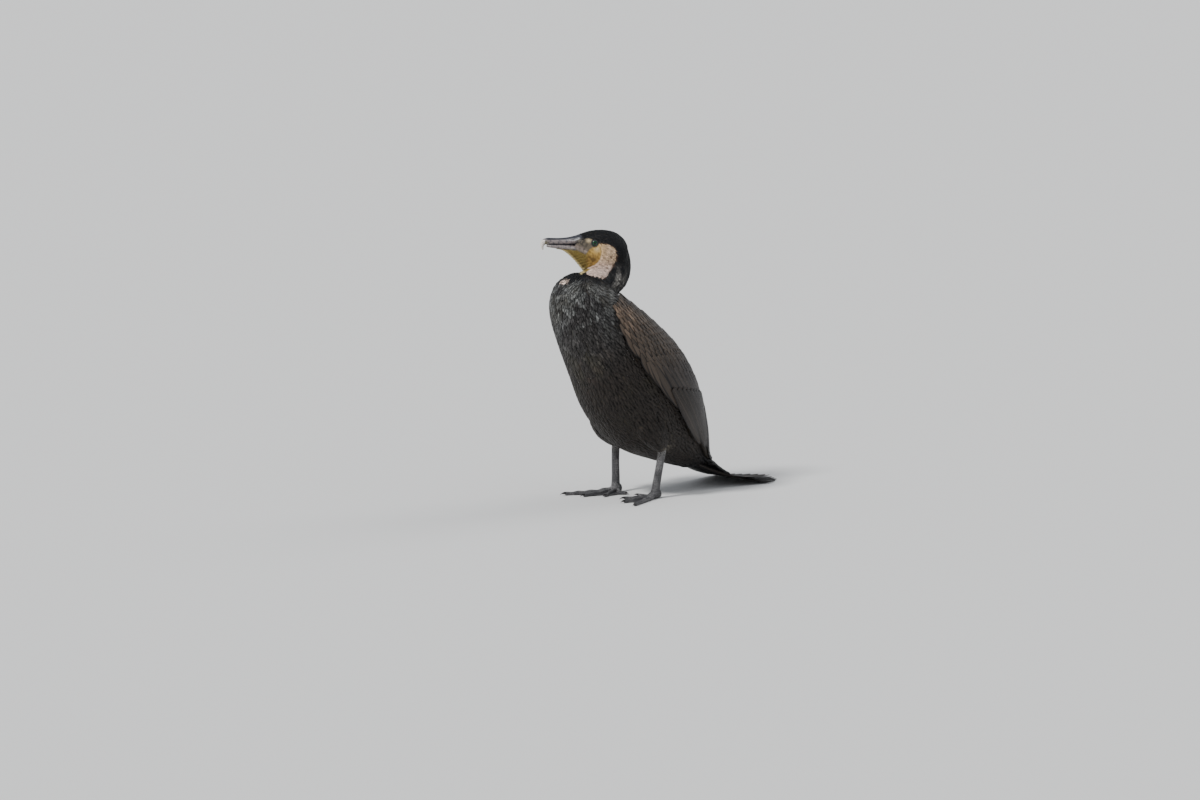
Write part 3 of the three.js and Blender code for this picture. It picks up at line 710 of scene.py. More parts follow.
def markings_and_painted_light(points):
    """The colours of the coat, and of the skin where it is bare, with painted sheen on the breast and
    neck and a painted highlight under the neck's fold.
    """
    station, degrees, _ = trunk_place(points)
    broad, fine = mottled(points, 34), mottled(points, 9)
    layers = [
        (RUSTY, near_place(points, (25, -128, 240), 38) * smooth(fine, -0.2, 0.8) * 0.8),
        (BREAST, smooth(station, 3.2, 1.5) * (0.75 + 0.25 * broad)),
        (OLIVE, smooth(station, 4.4, 2.8) * smooth(broad, 0.1, 0.9) * 0.6),
    ]
    for _, side in SIDES:
        # Painted sheen: silvery mottling of light on each side of the upper breast
        silvery_sheen = near_place(points, (26 * side, -136, 318), 48) * smooth(fine + 0.5 * broad, -0.6, 0.8)
        layers.append((BREAST_SHEEN, silvery_sheen * 0.8))
    layers += [
        (BLACK, smooth(degrees, 40, 75) * smooth(140 - degrees, 0, 35) * 0.9),
        (BLACK, smooth(station, 6.0, 6.9)),
        (NECK_BLACK, on_neck(points)),
    ]
    for _, side in SIDES:
        # Painted sheen: a grey mottled patch of light on the side of the neck
        grey = near_place(points, (22 * side, -57, 346), 15)
        cuff = near_place(points, leg_top(side), 11)
        layers += [
            (NECK_SHEEN, 1.3 * grey * smooth(fine, -0.7, 0.5)),
            (CUFF, 1.3 * cuff * smooth(fine, -0.8, 0.4)),
        ]
    layers += [
        # Painted highlight: a pale sliver of lit feather edges under the neck's fold
        (PINK_WHITE, breast_highlight_sliver(points)),
        (face_colours(points), cheek(points)),
        (bare_colours(points, fine), bare_skin(points)),
    ]
    return layered(points, BELLY, layers)


def leg_top(side):
    """The middle of the feathers' lower edge round the leg."""
    return ANKLE * [side, 1, 1] + [0, 0, 4]


def on_neck(points):
    """1 on the black hood: crown, nape and neck, with the fold of the neck over the breast."""
    near_head = smooth(distance_to(points, HEAD_MIDDLE), 66, 56)
    rising = smooth(points[:, 2], 338, 348) * smooth(distance_to(points, NECK_BEND), 84, 64)
    fold = smooth(points[:, 2] + 0.5 * mottled(points, 12), 349, 353.5) * smooth(points[:, 1], -148, -138)
    return np.maximum.reduce([near_head * (points[:, 2] > 346), rising, fold])


def breast_highlight_sliver(points):
    """A painted highlight: a pale sliver of lit feather edges under the fold of the neck, at the front of
    the breast.
    """
    away = (points - np.array([-9.0, -136.0, 347.0])) / [11, 9, 5.2]
    return smooth(np.linalg.norm(away, axis=1), 1.1, 0.75)


def face_colours(points):
    """The feathered patch: cream, pinker and whiter downwards, with dark flecks at its back."""
    a, b, _ = head_place(points)
    curls = mottled(points, 4.2)
    at_back = smooth(a + 0.35 * b, -20, -33)
    edge = smooth(cheek(points), 0.98, 0.5)
    return layered(points, CREAM, [
        (PINK_WHITE, smooth(-b, 22, 40)),
        (GOLD, smooth(a, -19, -9) * smooth(-b, 24, 12) * 0.45),
        (FLECK, smooth(curls, 0.25, 0.7) * at_back * 0.85),
        (FLECK, np.maximum(edge, smooth(curls, 0.5, 0.9) * 0.25)),
    ])


def spot(a, b, at, reach):
    return np.exp(-(((a - at[0]) / reach[0]) ** 2) - (((b - at[1]) / reach[1]) ** 2))


def bare_colours(points, fine):
    """The naked skin: gold and ochre below the eye, olive on the pouch, grey before the eye."""
    a, b, _ = head_place(points)
    curls, specks = mottled(points, 3.4), mottled(points, 2.9)
    before_eye = smooth(b, -11, -2) * smooth(a, 9, 15)
    along_mouth = bell(line_distance(a, b, [(34, -5), (22, -9), (13, -14)]) / 3.4)
    lores = layered(points, LORES, [
        (LORES_DARK, smooth(specks, -0.5, 0.3) * before_eye * 0.9),
        (LORES_DARK, smooth(curls, 0.3, 0.9) * 0.5),
        (BUFF, spot(a, b, (9, 3.5), (3.4, 2.6))),
        (LILAC, along_mouth * (0.7 + 0.5 * specks)),
    ])
    streaks = smooth(np.sin((b + 0.55 * a) * 1.4 + fine * 3.5), 0.3, 1.0) * smooth(a, 8, 16)
    keel = np.interp(a, [0, 8, 19, 26, 31, 40, 50, 60], [-44, -44, -40, -32, -26, -17, -11, -10])
    pouch = layered(points, GOLD, [
        (BUFF, spot(a, b, (-4, -9), (5, 5)) * 0.7),
        (POUCH, smooth(a, 5, 15)),
        (OCHRE, spot(a, b, (3.5, -25), (8.5, 7)) * (1.15 + 0.5 * curls)),
        (OCHRE, smooth(curls, 0.1, 0.8) * 0.5),
        (OCHRE * 0.6, streaks * 0.3),
        (POUCH_EDGE, smooth(b - keel, 3.0, -1.5) * 0.9),
    ])
    lores_end = np.interp(a, [-10, 0, 8, 14, 38, 60], [0.5, -4, -10, -18, -8, -9.5])
    return blend(lores, pouch, smooth(b - lores_end, 1.5, -1.5))


# How the feathers lie: a direction for each point of the skin
def along_path(points, rows, side=1):
    """The way along a path where it passes each point, its station there and how far off it is."""
    line = spline(path_of(rows, side))
    stations = np.linspace(0, len(rows) - 1, 161)
    middles = line(stations)
    nearest = nearest_of(points, middles)
    station = stations[nearest]
    along = unit(line(station + 0.02) - line(station - 0.02))
    return along, station, distance_to(points, middles[nearest])


def lie_of_coat(skin, points, normals):
    """Which way the feathers point: down the trunk, thighs and neck, and back over the head."""
    station, _, share = trunk_place(points)
    along, _ = trunk_axes(station)
    total = along * bell((share - 0.97) / 0.16)[:, None]
    towards, place, distance = along_path(points, NECK)
    reach = spline([row[3:] for row in NECK])(place).mean(1)
    total -= towards * bell((distance / reach - 1) / 0.22)[:, None] * 1.2
    for _, side in SIDES:
        towards, _, distance = along_path(points, THIGH, side)
        close = bell(distance / 26) * smooth(points[:, 2], 150, 120)
        total += towards * close[:, None] * 2.0
    a, b, _ = head_place(points)
    head = smooth(distance_to(points, HEAD_MIDDLE), 62, 44)
    backward = -HEAD_FORWARD - UP * np.interp(a, [-50, -20, 20], [1.2, 0.35, 0.1])[:, None]
    total += unit(backward) * head[:, None] * 2.5
    total += np.array([0, -0.7, -0.7]) * near_place(points, (0, -138, 345), 36)[:, None] * 2
    rump = smooth(points[:, 1], 105, 125)
    total += np.array([0, 0.93, -0.36]) * rump[:, None] * 1.5
    lie = flat_on(total, normals)
    edges = np.empty(len(skin.data.edges) * 2, np.int32)
    skin.data.edges.foreach_get("vertices", edges)
    one, two = edges.reshape(-1, 2).T
    for _ in range(14):
        summed = lie.copy()
        np.add.at(summed, one, lie[two])
        np.add.at(summed, two, lie[one])
        lie = flat_on(summed, normals)
    return lie


# Feathers of the body: small vanes scattered evenly over the skin, each along the coat's lie
COAT_END = 188  # how far back they reach over the tail
TRIES = 3.2  # places tried for each one wanted
TURN_SPREAD = 0.13  # radians
# Their spacing, length, width and lift on the breast, body, neck, ankles, head and face
COAT = [
    (2.7, 3.5, 2.0, 2.0, 1.5, 1.15),
    (10.5, 16.5, 8.0, 4.5, 5.2, 3.4),
    (4.7, 6.8, 3.2, 3.0, 2.2, 1.5),
    (0.7, 0.85, 0.55, 0.7, 0.4, 0.35),
]


def coat_sizes(points):
    """Spacing, length, width and lift of the feathers at each point."""
    station, _, _ = trunk_place(points)
    a, _, _ = head_place(points)
    body = smooth(station, 0.6, 3.0)
    neck = smooth(points[:, 2], 330, 350) * smooth(distance_to(points, NECK_BEND), 88, 66)
    head = smooth(distance_to(points, HEAD_MIDDLE), 58, 46)
    face = np.maximum(cheek(points), head * smooth(a, -14, 6))
    breast = smooth(station, 3.0, 1.2)
    thigh = np.maximum(*[near_place(points, leg_top(side), 20) for _, side in SIDES])
    zones = [(body, 1), (neck, 2), (thigh, 3), (head, 4), (face, 5)]
    values = []
    for row in COAT:
        value = row[0]
        for share, column in zones:
            value = mix(value, row[column], share)
        values.append(value)
    values[3] = values[3] * (1 + 0.5 * breast)
    return values


def covered_by_wing(points):
    station, degrees, _ = trunk_place(points)
    s = (station - WING_FROM) / (WING_TO - WING_FROM)
    low, high = wing_edges(np.clip(s, 0, 1))
    d = np.where(degrees > 90, 180 - degrees, np.where(degrees < -90, -180 - degrees, degrees))
    return (s > 0.1) & (s < 0.98) & (d > low + 7) & (d < high + 10)


def scattered(skin, points, spacing, keep):
    """Places spread over the skin, no two nearer than the spacing there."""
    mesh = skin.data
    mesh.calc_loop_triangles()
    corners = np.empty(len(mesh.loop_triangles) * 3, np.int32)
    mesh.loop_triangles.foreach_get("vertices", corners)
    corners = corners.reshape(-1, 3)
    corners = corners[keep[corners].all(1)]
    p = points[corners]
    area = np.linalg.norm(np.cross(p[:, 1] - p[:, 0], p[:, 2] - p[:, 0]), axis=1) / 2
    gap = spacing[corners].mean(1)
    wanted = area / gap**2
    count = int(wanted.sum() * TRIES)
    chosen = RANDOM.choice(len(corners), count, p=wanted / wanted.sum())
    r1, r2 = np.sqrt(RANDOM.random(count)), RANDOM.random(count)
    weights = np.stack([1 - r1, r1 * (1 - r2), r1 * r2], 1)
    places = (p[chosen] * weights[:, :, None]).sum(1)
    gaps = gap[chosen]
    tree = KDTree(count)
    for i, place in enumerate(places.tolist()):
        tree.insert(place, i)
    tree.balance()
    taken = np.zeros(count, bool)
    kept = []
    for i, place in enumerate(places.tolist()):
        if taken[i]:
            continue
        kept.append(i)
        for _, j, _ in tree.find_range(place, gaps[i]):
            taken[j] = True
    nearest = corners[chosen, weights.argmax(1)]
    return places[kept], nearest[kept]


PIECE_FEATHERS = 6400  # in one mesh, so that it stays light
ROWS = np.array([0.0, 0.38, 0.72, 0.92])
ROW_WIDTHS = np.array([0.35, 0.95, 1.0, 0.66])


def small_vanes(name, material, skin_tree, places, normals, lies, sizes, tints, unwrap):
    """Many small thin closed feathers as one mesh, each bent along the skin from root to tip."""
    count = len(places)
    length, width, lift = sizes
    side = np.cross(normals, lies)
    grounds, ground_normals = np.empty_like(places), np.empty_like(places)
    targets = places + lies * length[:, None]
    for i, target in enumerate(to_frame(targets).tolist()):
        spot_found, normal, _, _ = skin_tree.find_nearest(target)
        grounds[i] = spot_found
        ground_normals[i] = normal
    grounds = (grounds - SHIFT) * 1000
    tips = grounds + ground_normals * lift[:, None]
    bow = 0.25 * length * np.clip(dot(ground_normals - normals, lies), -0.2, 1.2)
    middle = (places + grounds) / 2 + unit(normals + ground_normals) * (0.84 * lift + bow)[:, None]
    t = ROWS[None, :, None]
    start = (places - normals * 0.5)[:, None]
    shaft = start * (1 - t) ** 2 + 2 * t * (1 - t) * middle[:, None] + tips[:, None] * t**2
    up = unit(mix(normals[:, None], ground_normals[:, None], t))
    across = flat_on(side[:, None], up)
    half = (width[:, None] * ROW_WIDTHS[None] / 2)[..., None]
    left = shaft - across * half - up * half * 0.22
    right = shaft + across * half - up * half * 0.22
    under = shaft - up * (0.25 + 0.25 * half)
    rows = np.stack([left, shaft, right, under], 2)
    points = np.concatenate([rows.reshape(count, -1, 3), tips[:, None]], 1)
    per = points.shape[1]
    quads, ends = [], []
    for r in range(len(ROWS) - 1):
        for k in range(4):
            a, b = r * 4 + k, r * 4 + (k + 1) % 4
            quads.append((a, b, b + 4, a + 4))
    last = (len(ROWS) - 1) * 4
    for k in range(4):
        ends.append((last + k, last + (k + 1) % 4, per - 1))
    ends += [(2, 1, 0), (3, 2, 0)]
    starts = np.arange(count)[:, None, None] * per
    faces = (np.array(quads)[None] + starts).reshape(-1, 4)[:, ::-1].tolist()
    faces += (np.array(ends)[None] + starts).reshape(-1, 3)[:, ::-1].tolist()
    piece = mesh_object(name, points.reshape(-1, 3), faces, material)
    u = np.array([0.0, 0.5, 1.0, 0.5] * len(ROWS) + [0.5])
    v = np.array([row for row in ROWS for _ in range(4)] + [1.0])
    vane = np.broadcast_to(np.stack([u, v], 1), (count, per, 2))
    patch = unwrap[:, None] + (vane - 0.5) * 0.003
    map_points(piece, "Vane", vane.reshape(-1, 2))
    map_points(piece, "OFBake", patch.reshape(-1, 2))
    paint(piece, "Tint", np.repeat(tints, per, axis=0))
    finished(piece, "plumage")


def unwrapped(places):
    """Each place on a map of the skin: trunk, neck and head are rolled out side by side."""
    station, degrees, _ = trunk_place(places)
    a, b, m = head_place(places)
    on_trunk = np.stack([0.01 + station / 8 * 0.6, 0.01 + (degrees + 180) / 360 * 0.98], 1)
    turn = np.degrees(np.arctan2(m, b + 12))
    on_the_head = np.stack([0.64 + (a + 60) / 130 * 0.34, 0.01 + (turn + 180) / 360 * 0.98], 1)
    high = distance_to(places, HEAD_MIDDLE) < 66
    return np.clip(np.where(high[:, None], on_the_head, on_trunk), 0.004, 0.996)


def dress_body(skin):
    points, normals = points_of(skin), vectors_of(skin, "normal")
    lie = lie_of_coat(skin, points, normals)
    spacing, *_ = coat_sizes(points)
    keep = (bare_skin(points) < 0.5) & ~covered_by_wing(points) & (points[:, 1] < COAT_END)
    places, nearest = scattered(skin, points, spacing, keep)
    directions = lie[nearest]
    n = normals[nearest]
    turn = RANDOM.normal(0, TURN_SPREAD, len(places))[:, None]
    directions = unit(directions * np.cos(turn) + np.cross(n, directions) * np.sin(turn))
    _, length, width, lift = coat_sizes(places)
    vary = RANDOM.uniform(0.85, 1.15, (3, len(places)))
    station, _, _ = trunk_place(places)
    varied = 0.22 + 0.2 * smooth(station, 3.4, 1.8) * (places[:, 2] < 350)
    tints = markings_and_painted_light(places) * np.exp(RANDOM.normal(0, 1, len(places)) * varied)[:, None]
    tree = BVHTree.FromObject(skin, bpy.context.evaluated_depsgraph_get())
    feather = feather_material("body feather", 0.45, 0.45, 0.15, 0.5, 60.0)
    sizes = np.array([length, width, lift]) * vary
    downwards = np.argsort(-places[:, 2])
    pieces = math.ceil(len(places) / PIECE_FEATHERS)
    for number, chosen in enumerate(np.array_split(downwards, pieces), start=1):
        small_vanes(
            f"feathers_{number}", feather, tree, places[chosen], n[chosen], directions[chosen],
            sizes[:, chosen], tints[chosen], unwrapped(places[chosen]),
        )


# Large feathers of the wings and the tail
def vane_outline(t, point):
    return np.minimum(1, 0.45 + 1.6 * t) * np.sqrt(np.maximum(0.0008, 1 - t**point))


ACROSS = np.array([-1.0, -0.7, -0.35, 0.0, 0.35, 0.7, 1.0])
UNDER = np.array([0.6, 0.0, -0.6])


def large_vanes(name, material, slot, vanes, tints, nodes=()):
    """Each vane is its rings of points, round from its left edge over the top and back below."""
    points, faces, spots, places, start = [], [], [], [], 0
    side = math.ceil(math.sqrt(len(vanes)))
    for number, rings in enumerate(vanes):
        p, f = loft_data(rings, start)
        points.append(p)
        faces += f
        start += len(p)
        count = rings.shape[0]
        u = np.concatenate([ACROSS, UNDER]) / 2 + 0.5
        t = 1 - (1 - np.linspace(0, 1, count)) ** 1.5
        grid = np.stack(np.broadcast_arrays(u[None, :], t[:, None]), 2).reshape(-1, 2)
        grid = np.vstack([grid, [0.5, 0.0], [0.5, 1.0]])
        spots.append(grid)
        corner = np.array([number % side, number // side])
        places.append((corner + 0.06 + grid * 0.88) / side)
    piece = mesh_object(name, np.vstack(points), faces, material)
    piece.data.set_sharp_from_angle(angle=math.radians(50))
    map_points(piece, "Vane", np.vstack(spots))
    map_points(piece, "OFBake", np.vstack(places))
    paint(piece, "Tint", np.vstack([np.broadcast_to(c, (len(p), 3)) for c, p in zip(tints, points)]))
    finished(piece, slot, *nodes)


def vane_rings(place, out, wide, low, high, depth, tilt, ridge, point, steps, ragged=0.0):
    """One vane over a surface: place(t, across) is a point on it and out(t) the way out."""
    t = 1 - (1 - np.linspace(0, 1, steps)[:, None]) ** 1.5
    half = wide * vane_outline(t, point)
    if ragged:
        notch = 1 - ragged * np.abs(RANDOM.normal(0, 1, t.shape)) * smooth(t, 0.55, 1.0)
        half = half * np.clip(notch, 0.3, 1)
    thick = depth * (1 - 0.35 * t)
    lean = half * tilt * (1 - 0.5 * t)
    lift = mix(low, high, t)
    normal = out(t)
    camber = ridge * (1 - ACROSS[None] ** 2) + lean * ACROSS[None]
    top = place(t, half * ACROSS[None]) + normal * (lift + camber)[..., None]
    below = place(t, half * UNDER[None]) + normal * (lift + lean * UNDER[None] - thick)[..., None]
    return np.concatenate([top, below], 1)


def curve_of(ends):
    """A line of places through two or three places, read from 0 to 1."""
    line = spline(ends)
    return lambda k: line(k * (len(ends) - 1))


def wing_row(side, count, roots, tips, wide, high, steps, point, low=-1.0, uneven=0.01, offset=0.5):
    """A row of vanes on the folded wing, from places (along, angle) at their roots to their tips."""
    root_line, tip_line = curve_of(roots), curve_of(tips)
    made = []
    for i in range(count):
        k = np.array((i + offset) / count)
        root, tip = root_line(k), tip_line(k)
        tip = tip + RANDOM.normal(0, 1, 2) * [uneven, 1.0]
        width = wide if np.isscalar(wide) else mix(wide[0], wide[1], float(k))
        bend = RANDOM.normal(0, 0.6)

        def track(t, root=root, tip=tip, bend=bend):
            s = mix(root[0], tip[0], t)
            return s, mix(root[1], tip[1], t) + bend * np.sin(np.pi * t)

        def place(t, across, track=track):
            s, d = track(t)
            radius = 14 + trunk_size(mix(WING_FROM, WING_TO, s))[..., 0] * 0.9
            return wing_point(s + 0 * across, d + np.degrees(across / radius))

        def out(t, track=track):
            s, d = track(t)
            return wing_normal(s, d)

        rings = vane_rings(
            place, out, width, low=low, high=high + RANDOM.normal(0, 0.1), depth=0.5, tilt=-0.1,
            ridge=0.35, point=point, steps=steps,
        )
        made.append((rings * [side, 1, 1], tip))
    return made


# Rows from the tips of the wing forward. Each says where its roots and its tips lie, from its
# lower end to its upper end, as (along the wing, degrees round the trunk).
PRIMARIES = dict(
    count=6, wide=(9, 8), low=-2, high=0.3, steps=16, point=4.5,
    roots=[(0.62, 34), (0.62, 66)], tips=[(0.93, 12), (1.0, 36), (1.035, 66)],
)
SECONDARIES = dict(
    count=13, wide=7, low=-2, high=0.8, steps=16, point=3.6, uneven=0.03,
    roots=[(0.38, -4), (0.5, 26), (0.6, 54)], tips=[(0.66, -6), (0.82, 22), (0.94, 56)],
)
TERTIALS = dict(
    count=5, wide=12, high=1.6, steps=15, point=4.5,
    roots=[(0.4, 56), (0.5, 86)], tips=[(0.82, 56), (0.93, 86)],
)
GREATER_COVERTS = dict(
    count=12, wide=5.8, high=1.1, steps=13, point=2.6, uneven=0.04,
    roots=[(0.26, -5), (0.4, 26), (0.52, 56)], tips=[(0.5, -8), (0.66, 22), (0.82, 54)],
)
LONG_COVERTS = dict(
    count=12, wide=5.6, high=1.5, steps=13, point=2.6, uneven=0.03, offset=0.1,
    roots=[(0.24, -5), (0.35, 26), (0.46, 56)], tips=[(0.43, -8), (0.57, 22), (0.71, 54)],
)
MEDIAN_COVERTS = dict(
    count=12, wide=5.4, high=1.85, steps=12, point=2.8, uneven=0.015,
    roots=[(0.2, -4), (0.31, 26), (0.4, 56)], tips=[(0.38, -9), (0.495, 24), (0.62, 54)],
)
LESSER_ROWS = 13
SCAPULAR_ROWS = 8


def stagger(row):
    """Every other row is set half a feather along, so that the feathers lie like tiles."""
    return 0.25 + 0.5 * (row % 2)


def lesser_coverts():
    """Small coverts in rows like scales, from the median coverts forward to the wrist."""
    rows = []
    for r in range(LESSER_ROWS):
        back = 1 - r / (LESSER_ROWS - 1)
        low_tip, high_tip = mix(0.045, 0.345, back), mix(0.09, 0.56, back)
        middle = (low_tip + high_tip) / 2
        long = mix(0.06, 0.11, back)
        start = mix(6, -11, min(1.0, back * 2.5))
        rows.append(dict(
            count=int(mix(8, 13.5, min(1, back * 1.6))), wide=mix(4.0, 5.2, back),
            roots=[(low_tip - long, start + 3), (middle - long, 25), (high_tip - long, 54)],
            tips=[(low_tip, start), (middle, 23), (high_tip, 52)],
            low=-0.6, high=2.5 - 0.5 * back, steps=9, point=2.6, offset=stagger(r), uneven=0.009,
        ))
    return rows


def scapulars():
    """Long pointed feathers from the shoulder over the back of the wing."""
    rows = []
    for r in range(SCAPULAR_ROWS):
        back = 1 - r / (SCAPULAR_ROWS - 1)
        tip = mix(0.17, 0.68, back)
        long = mix(0.12, 0.24, back)
        rows.append(dict(
            count=6, wide=mix(6, 8.6, back),
            roots=[(tip - long, 54), (tip - long + 0.03, 86)], tips=[(tip - 0.02, 50), (tip + 0.03, 87)],
            low=-0.5, high=2.9 - 0.5 * back, steps=12, point=2.6, offset=stagger(r), uneven=0.018,
        ))
    return rows


BRONZE = np.array([0.066, 0.050, 0.038])
# Painted highlight: pale brown light on the coverts at the wrist
WRIST_HIGHLIGHT = np.array([0.26, 0.18, 0.125])
FLIGHT = np.array([0.013, 0.0115, 0.0115])


def wing_tint(tip, group):
    """Bronze coverts, with a painted highlight at the wrist and darker backwards, and nearly black flight
    feathers.
    """
    s, d = tip
    if group == "flight":
        return mix(FLIGHT, BRONZE, smooth(s, 0.88, 0.62) * 0.35) * RANDOM.uniform(0.7, 1.4)
    tint = mix(BRONZE, FLIGHT * 2.2, smooth(d, 30, 62) * 0.6)
    tint = mix(tint, FLIGHT * 2.4, smooth(s, 0.36, 0.7) * 0.8)
    # Painted highlight: pale brown light at the wrist, a random amount on each covert
    wrist = smooth(s, 0.3, 0.1) * smooth(d, 56, 20)
    tint = mix(tint, WRIST_HIGHLIGHT, wrist * RANDOM.uniform(0.0, 0.75))
    return tint * RANDOM.uniform(0.65, 1.35)


def wing_bed(name, side, material):
    """The body of the wing under its feathers, which closes the chinks between them."""
    s = (0.004 + 0.99 * np.linspace(0, 1, 50))[:, None]
    low, high = wing_edges(s)
    k = np.linspace(0, 1, 22)[None, :]
    edge = np.minimum(1, 8 * np.minimum(k, 1 - k))
    outer = wing_point(s + 0 * k, mix(low, high, k), -1.6 - 1.5 * (1 - edge))
    inner = wing_point(s + 0 * k, mix(low, high, k), -WING_LIFT - 1)
    rings = np.concatenate([outer, inner[:, ::-1]], 1) * [side, 1, 1]
    points, faces = loft_data(rings)
    piece = mesh_object("wing_bed_" + name, points, faces, material)
    paint(piece, "Tint", np.broadcast_to(FLIGHT, (len(points), 3)))
    store(piece, "Bare", np.zeros(len(points)))
    finished(piece, "wing")


def dress_wings(skin_look):
    flight = feather_material("flight feather", 0.7, 0.65, 0.3, 0.42, 420.0, tip_power=9.0)
    covert = feather_material("wing covert", 0.97, 0.5, 0.15, 0.42, 160.0, tip_power=3.2)
    for name, side in SIDES:
        groups = {
            "flight": (flight, [PRIMARIES, SECONDARIES, TERTIALS]),
            "coverts": (covert, [GREATER_COVERTS, LONG_COVERTS, MEDIAN_COVERTS] + lesser_coverts()),
            "scapulars": (covert, scapulars()),
        }
        for group, (material, rows) in groups.items():
            found = [vane for row in rows for vane in wing_row(side, **row)]
            rings = [vane for vane, _ in found]
            tints = [wing_tint(tip, group) for _, tip in found]
            nodes = ["wing_" + name] if group == "flight" else []
            large_vanes(f"wing_{group}_{name}", material, "wing", rings, tints, nodes)
        wing_bed(name, side, skin_look)


def tail_height(distance):
    """How high a tail feather lies at a distance from its root: it bends to lie on the floor."""
    reach, flat = 170, 0.8
    return flat + (TAIL_ROOT[2] - flat) * np.maximum(0, 1 - distance / reach) ** 1.9


def tail_vane(number):
    half = TAIL_FEATHERS // 2
    side, rank = (1, number) if number < half else (-1, number - half)
    angle = math.radians(side * (1.3 + rank * (TAIL_FAN / 2 - 1.3) / (half - 1)))
    length = TAIL_LENGTH * (1 - 0.022 * rank - 0.0035 * rank**2) + 26 + RANDOM.normal(0, 1.2)
    away = np.array([math.sin(angle), math.cos(angle), 0])
    aside = np.array([math.cos(angle), -math.sin(angle), 0])
    root = np.array([side * (2 + 2.6 * rank), TAIL_ROOT[1], 0])
    raised = 1.0 if side > 0 and rank == 0 else 0.0

    def place(t, across):
        distance = 6 + t * length
        flat = root + away * distance[..., None] + aside * across[..., None]
        return flat + UP * (tail_height(distance) + raised * t)[..., None]

    def out(t):
        return np.broadcast_to(UP, (*t.shape, 3))

    return vane_rings(
        place, out, wide=9.0 - 0.2 * rank, low=0.0, high=0.0, depth=0.7, tilt=0.24 * side,
        ridge=0.45, point=4.0, steps=40, ragged=0.1,
    )


def dress_tail():
    material = feather_material("tail feather", 0.8, 0.5, 0.75, 0.45, 700.0, tip_power=30.0)
    vanes = [tail_vane(i) for i in range(TAIL_FEATHERS)]
    for rings in vanes:
        rings[..., 2] = np.maximum(rings[..., 2], 0.12)
    tints = [mix(FLIGHT, BRONZE, 0.25) * RANDOM.uniform(0.8, 1.5) for _ in vanes]
    large_vanes("tail_feathers", material, "tail", vanes, tints, ["tail"])


# Bill and eyes
CULMEN = np.array([0.017, 0.018, 0.026])
UPPER_HORN = np.array([0.20, 0.165, 0.16])
LOWER_HORN = np.array([0.21, 0.175, 0.165])
OLIVE_HORN = np.array([0.13, 0.105, 0.04])
HOOK_OCHRE = np.array([0.10, 0.085, 0.03])
NOSTRIL_SHADE = np.array([0.008, 0.007, 0.007])
IVORY = np.array([0.74, 0.68, 0.62])
# Each half of the bill: towards its tip, level, half width, reach up and down
UPPER_BILL = [
    (15, 3.8, 9.5, 7.5, 7),
    (21, 3.3, 11.6, 9.2, 8),
    (30, 2.2, 10.2, 7.6, 6.6),
    (42, 1, 7.8, 6.2, 5.6),
    (55, 0.9, 6, 5.2, 5.4),
    (66, 1.1, 5, 5.1, 5.5),
    (73, 1.2, 4.7, 5, 5.2),
    (78.6, -0.9, 4, 4.4, 4.2),
    (81, -6, 2.6, 2.6, 2.6),
    (80, -12.4, 0.9, 0.8, 0.8),
]
LOWER_BILL = [
    (14, -13.4, 9, 5, 4),
    (20, -12.7, 11.2, 6, 5),
    (30, -11.2, 9.8, 6.4, 4.4),
    (42, -9.2, 7.4, 6, 3.4),
    (55, -7.9, 5.6, 5, 2.8),
    (66, -7.1, 4.4, 4, 2.3),
    (74.4, -6.6, 2.6, 2.4, 1.2),
]


def bill_rings(rows, rings, around):
    path = [on_head(a, b) for a, b, *_ in rows]
    return tube(path, [row[2:] for row in rows], -HEAD_LEFT, rings, around)


def upper_bill(material):
    points, faces = loft_data(bill_rings(UPPER_BILL, 120, 64))
    a, b, m = head_place(points)
    groove_at = np.interp(a, [22, 30, 45, 70], [6.2, 4.9, 3.6, 3.2])
    groove = bell((b - groove_at) / 0.6) * smooth(a, 22, 27) * smooth(a, 75, 70)
    nostril = spot(a, b, (32.5, 4.1), (3.2, 0.6))
    inward = -np.sign(m)[:, None] * HEAD_LEFT
    points = points + inward * (0.55 * groove + 0.6 * nostril)[:, None]
    piece = mesh_object("bill_upper_horn", points, faces, material)
    a, b, _ = head_place(points)
    level = np.interp(a, [20, 30, 42, 55, 66, 73], [3.4, 2.2, 1, 0.9, 1.1, 1.2])
    paint(piece, "Tint", layered(points, UPPER_HORN, [
        (LORES, smooth(a, 36, 25)),
        (LORES_DARK, smooth(a, 38, 26) * smooth(mottled(points, 2.2), -0.3, 0.5) * 0.85),
        (CULMEN, smooth(b - groove_at, -0.8, 1.0) * smooth(a, 79, 73)),
        (CULMEN * 1.6, smooth(mottled(points, 3.2), -0.1, 0.8) * 0.75),
        # Painted shade: a dark band along the lower edge of the upper half, where it meets the lower half
        (CULMEN, smooth(b - level, -3.0, -3.9) * smooth(a, 76, 72) * 0.9),
        # Painted shade: the nostril's slit painted dark
        (NOSTRIL_SHADE, nostril),
        (HOOK_OCHRE, spot(a, b, (75, -1.5), (3, 3)) * 0.9),
        (IVORY, smooth(a + 0.25 * np.minimum(b, 0), 76.2, 77.8) * smooth(b, 4.2, 2.0)),
        (IVORY, spot(a, b, (72.5, -3.6), (1.8, 0.9))),
    ]))
    finished(piece, "bill", "bill_upper")


def lower_bill(material):
    points, faces = loft_data(bill_rings(LOWER_BILL, 80, 48))
    piece = mesh_object("bill_lower_horn", points, faces, material)
    a, b, _ = head_place(points)
    paint(piece, "Tint", layered(points, LOWER_HORN, [
        (LILAC, smooth(a, 36, 24) * 0.8),
        (OLIVE_HORN, smooth(a, 50, 32) * smooth(b, -8, -11) * 0.8),
        (CULMEN * 1.6, smooth(mottled(points, 3.2), 0.0, 0.8) * 0.7),
        # Painted shade: a dark band along the upper edge, in the seam under the upper half
        (CULMEN, smooth(b, -5.4, -4.2) * 0.9),
    ]))
    finished(piece, "bill", "bill_lower")


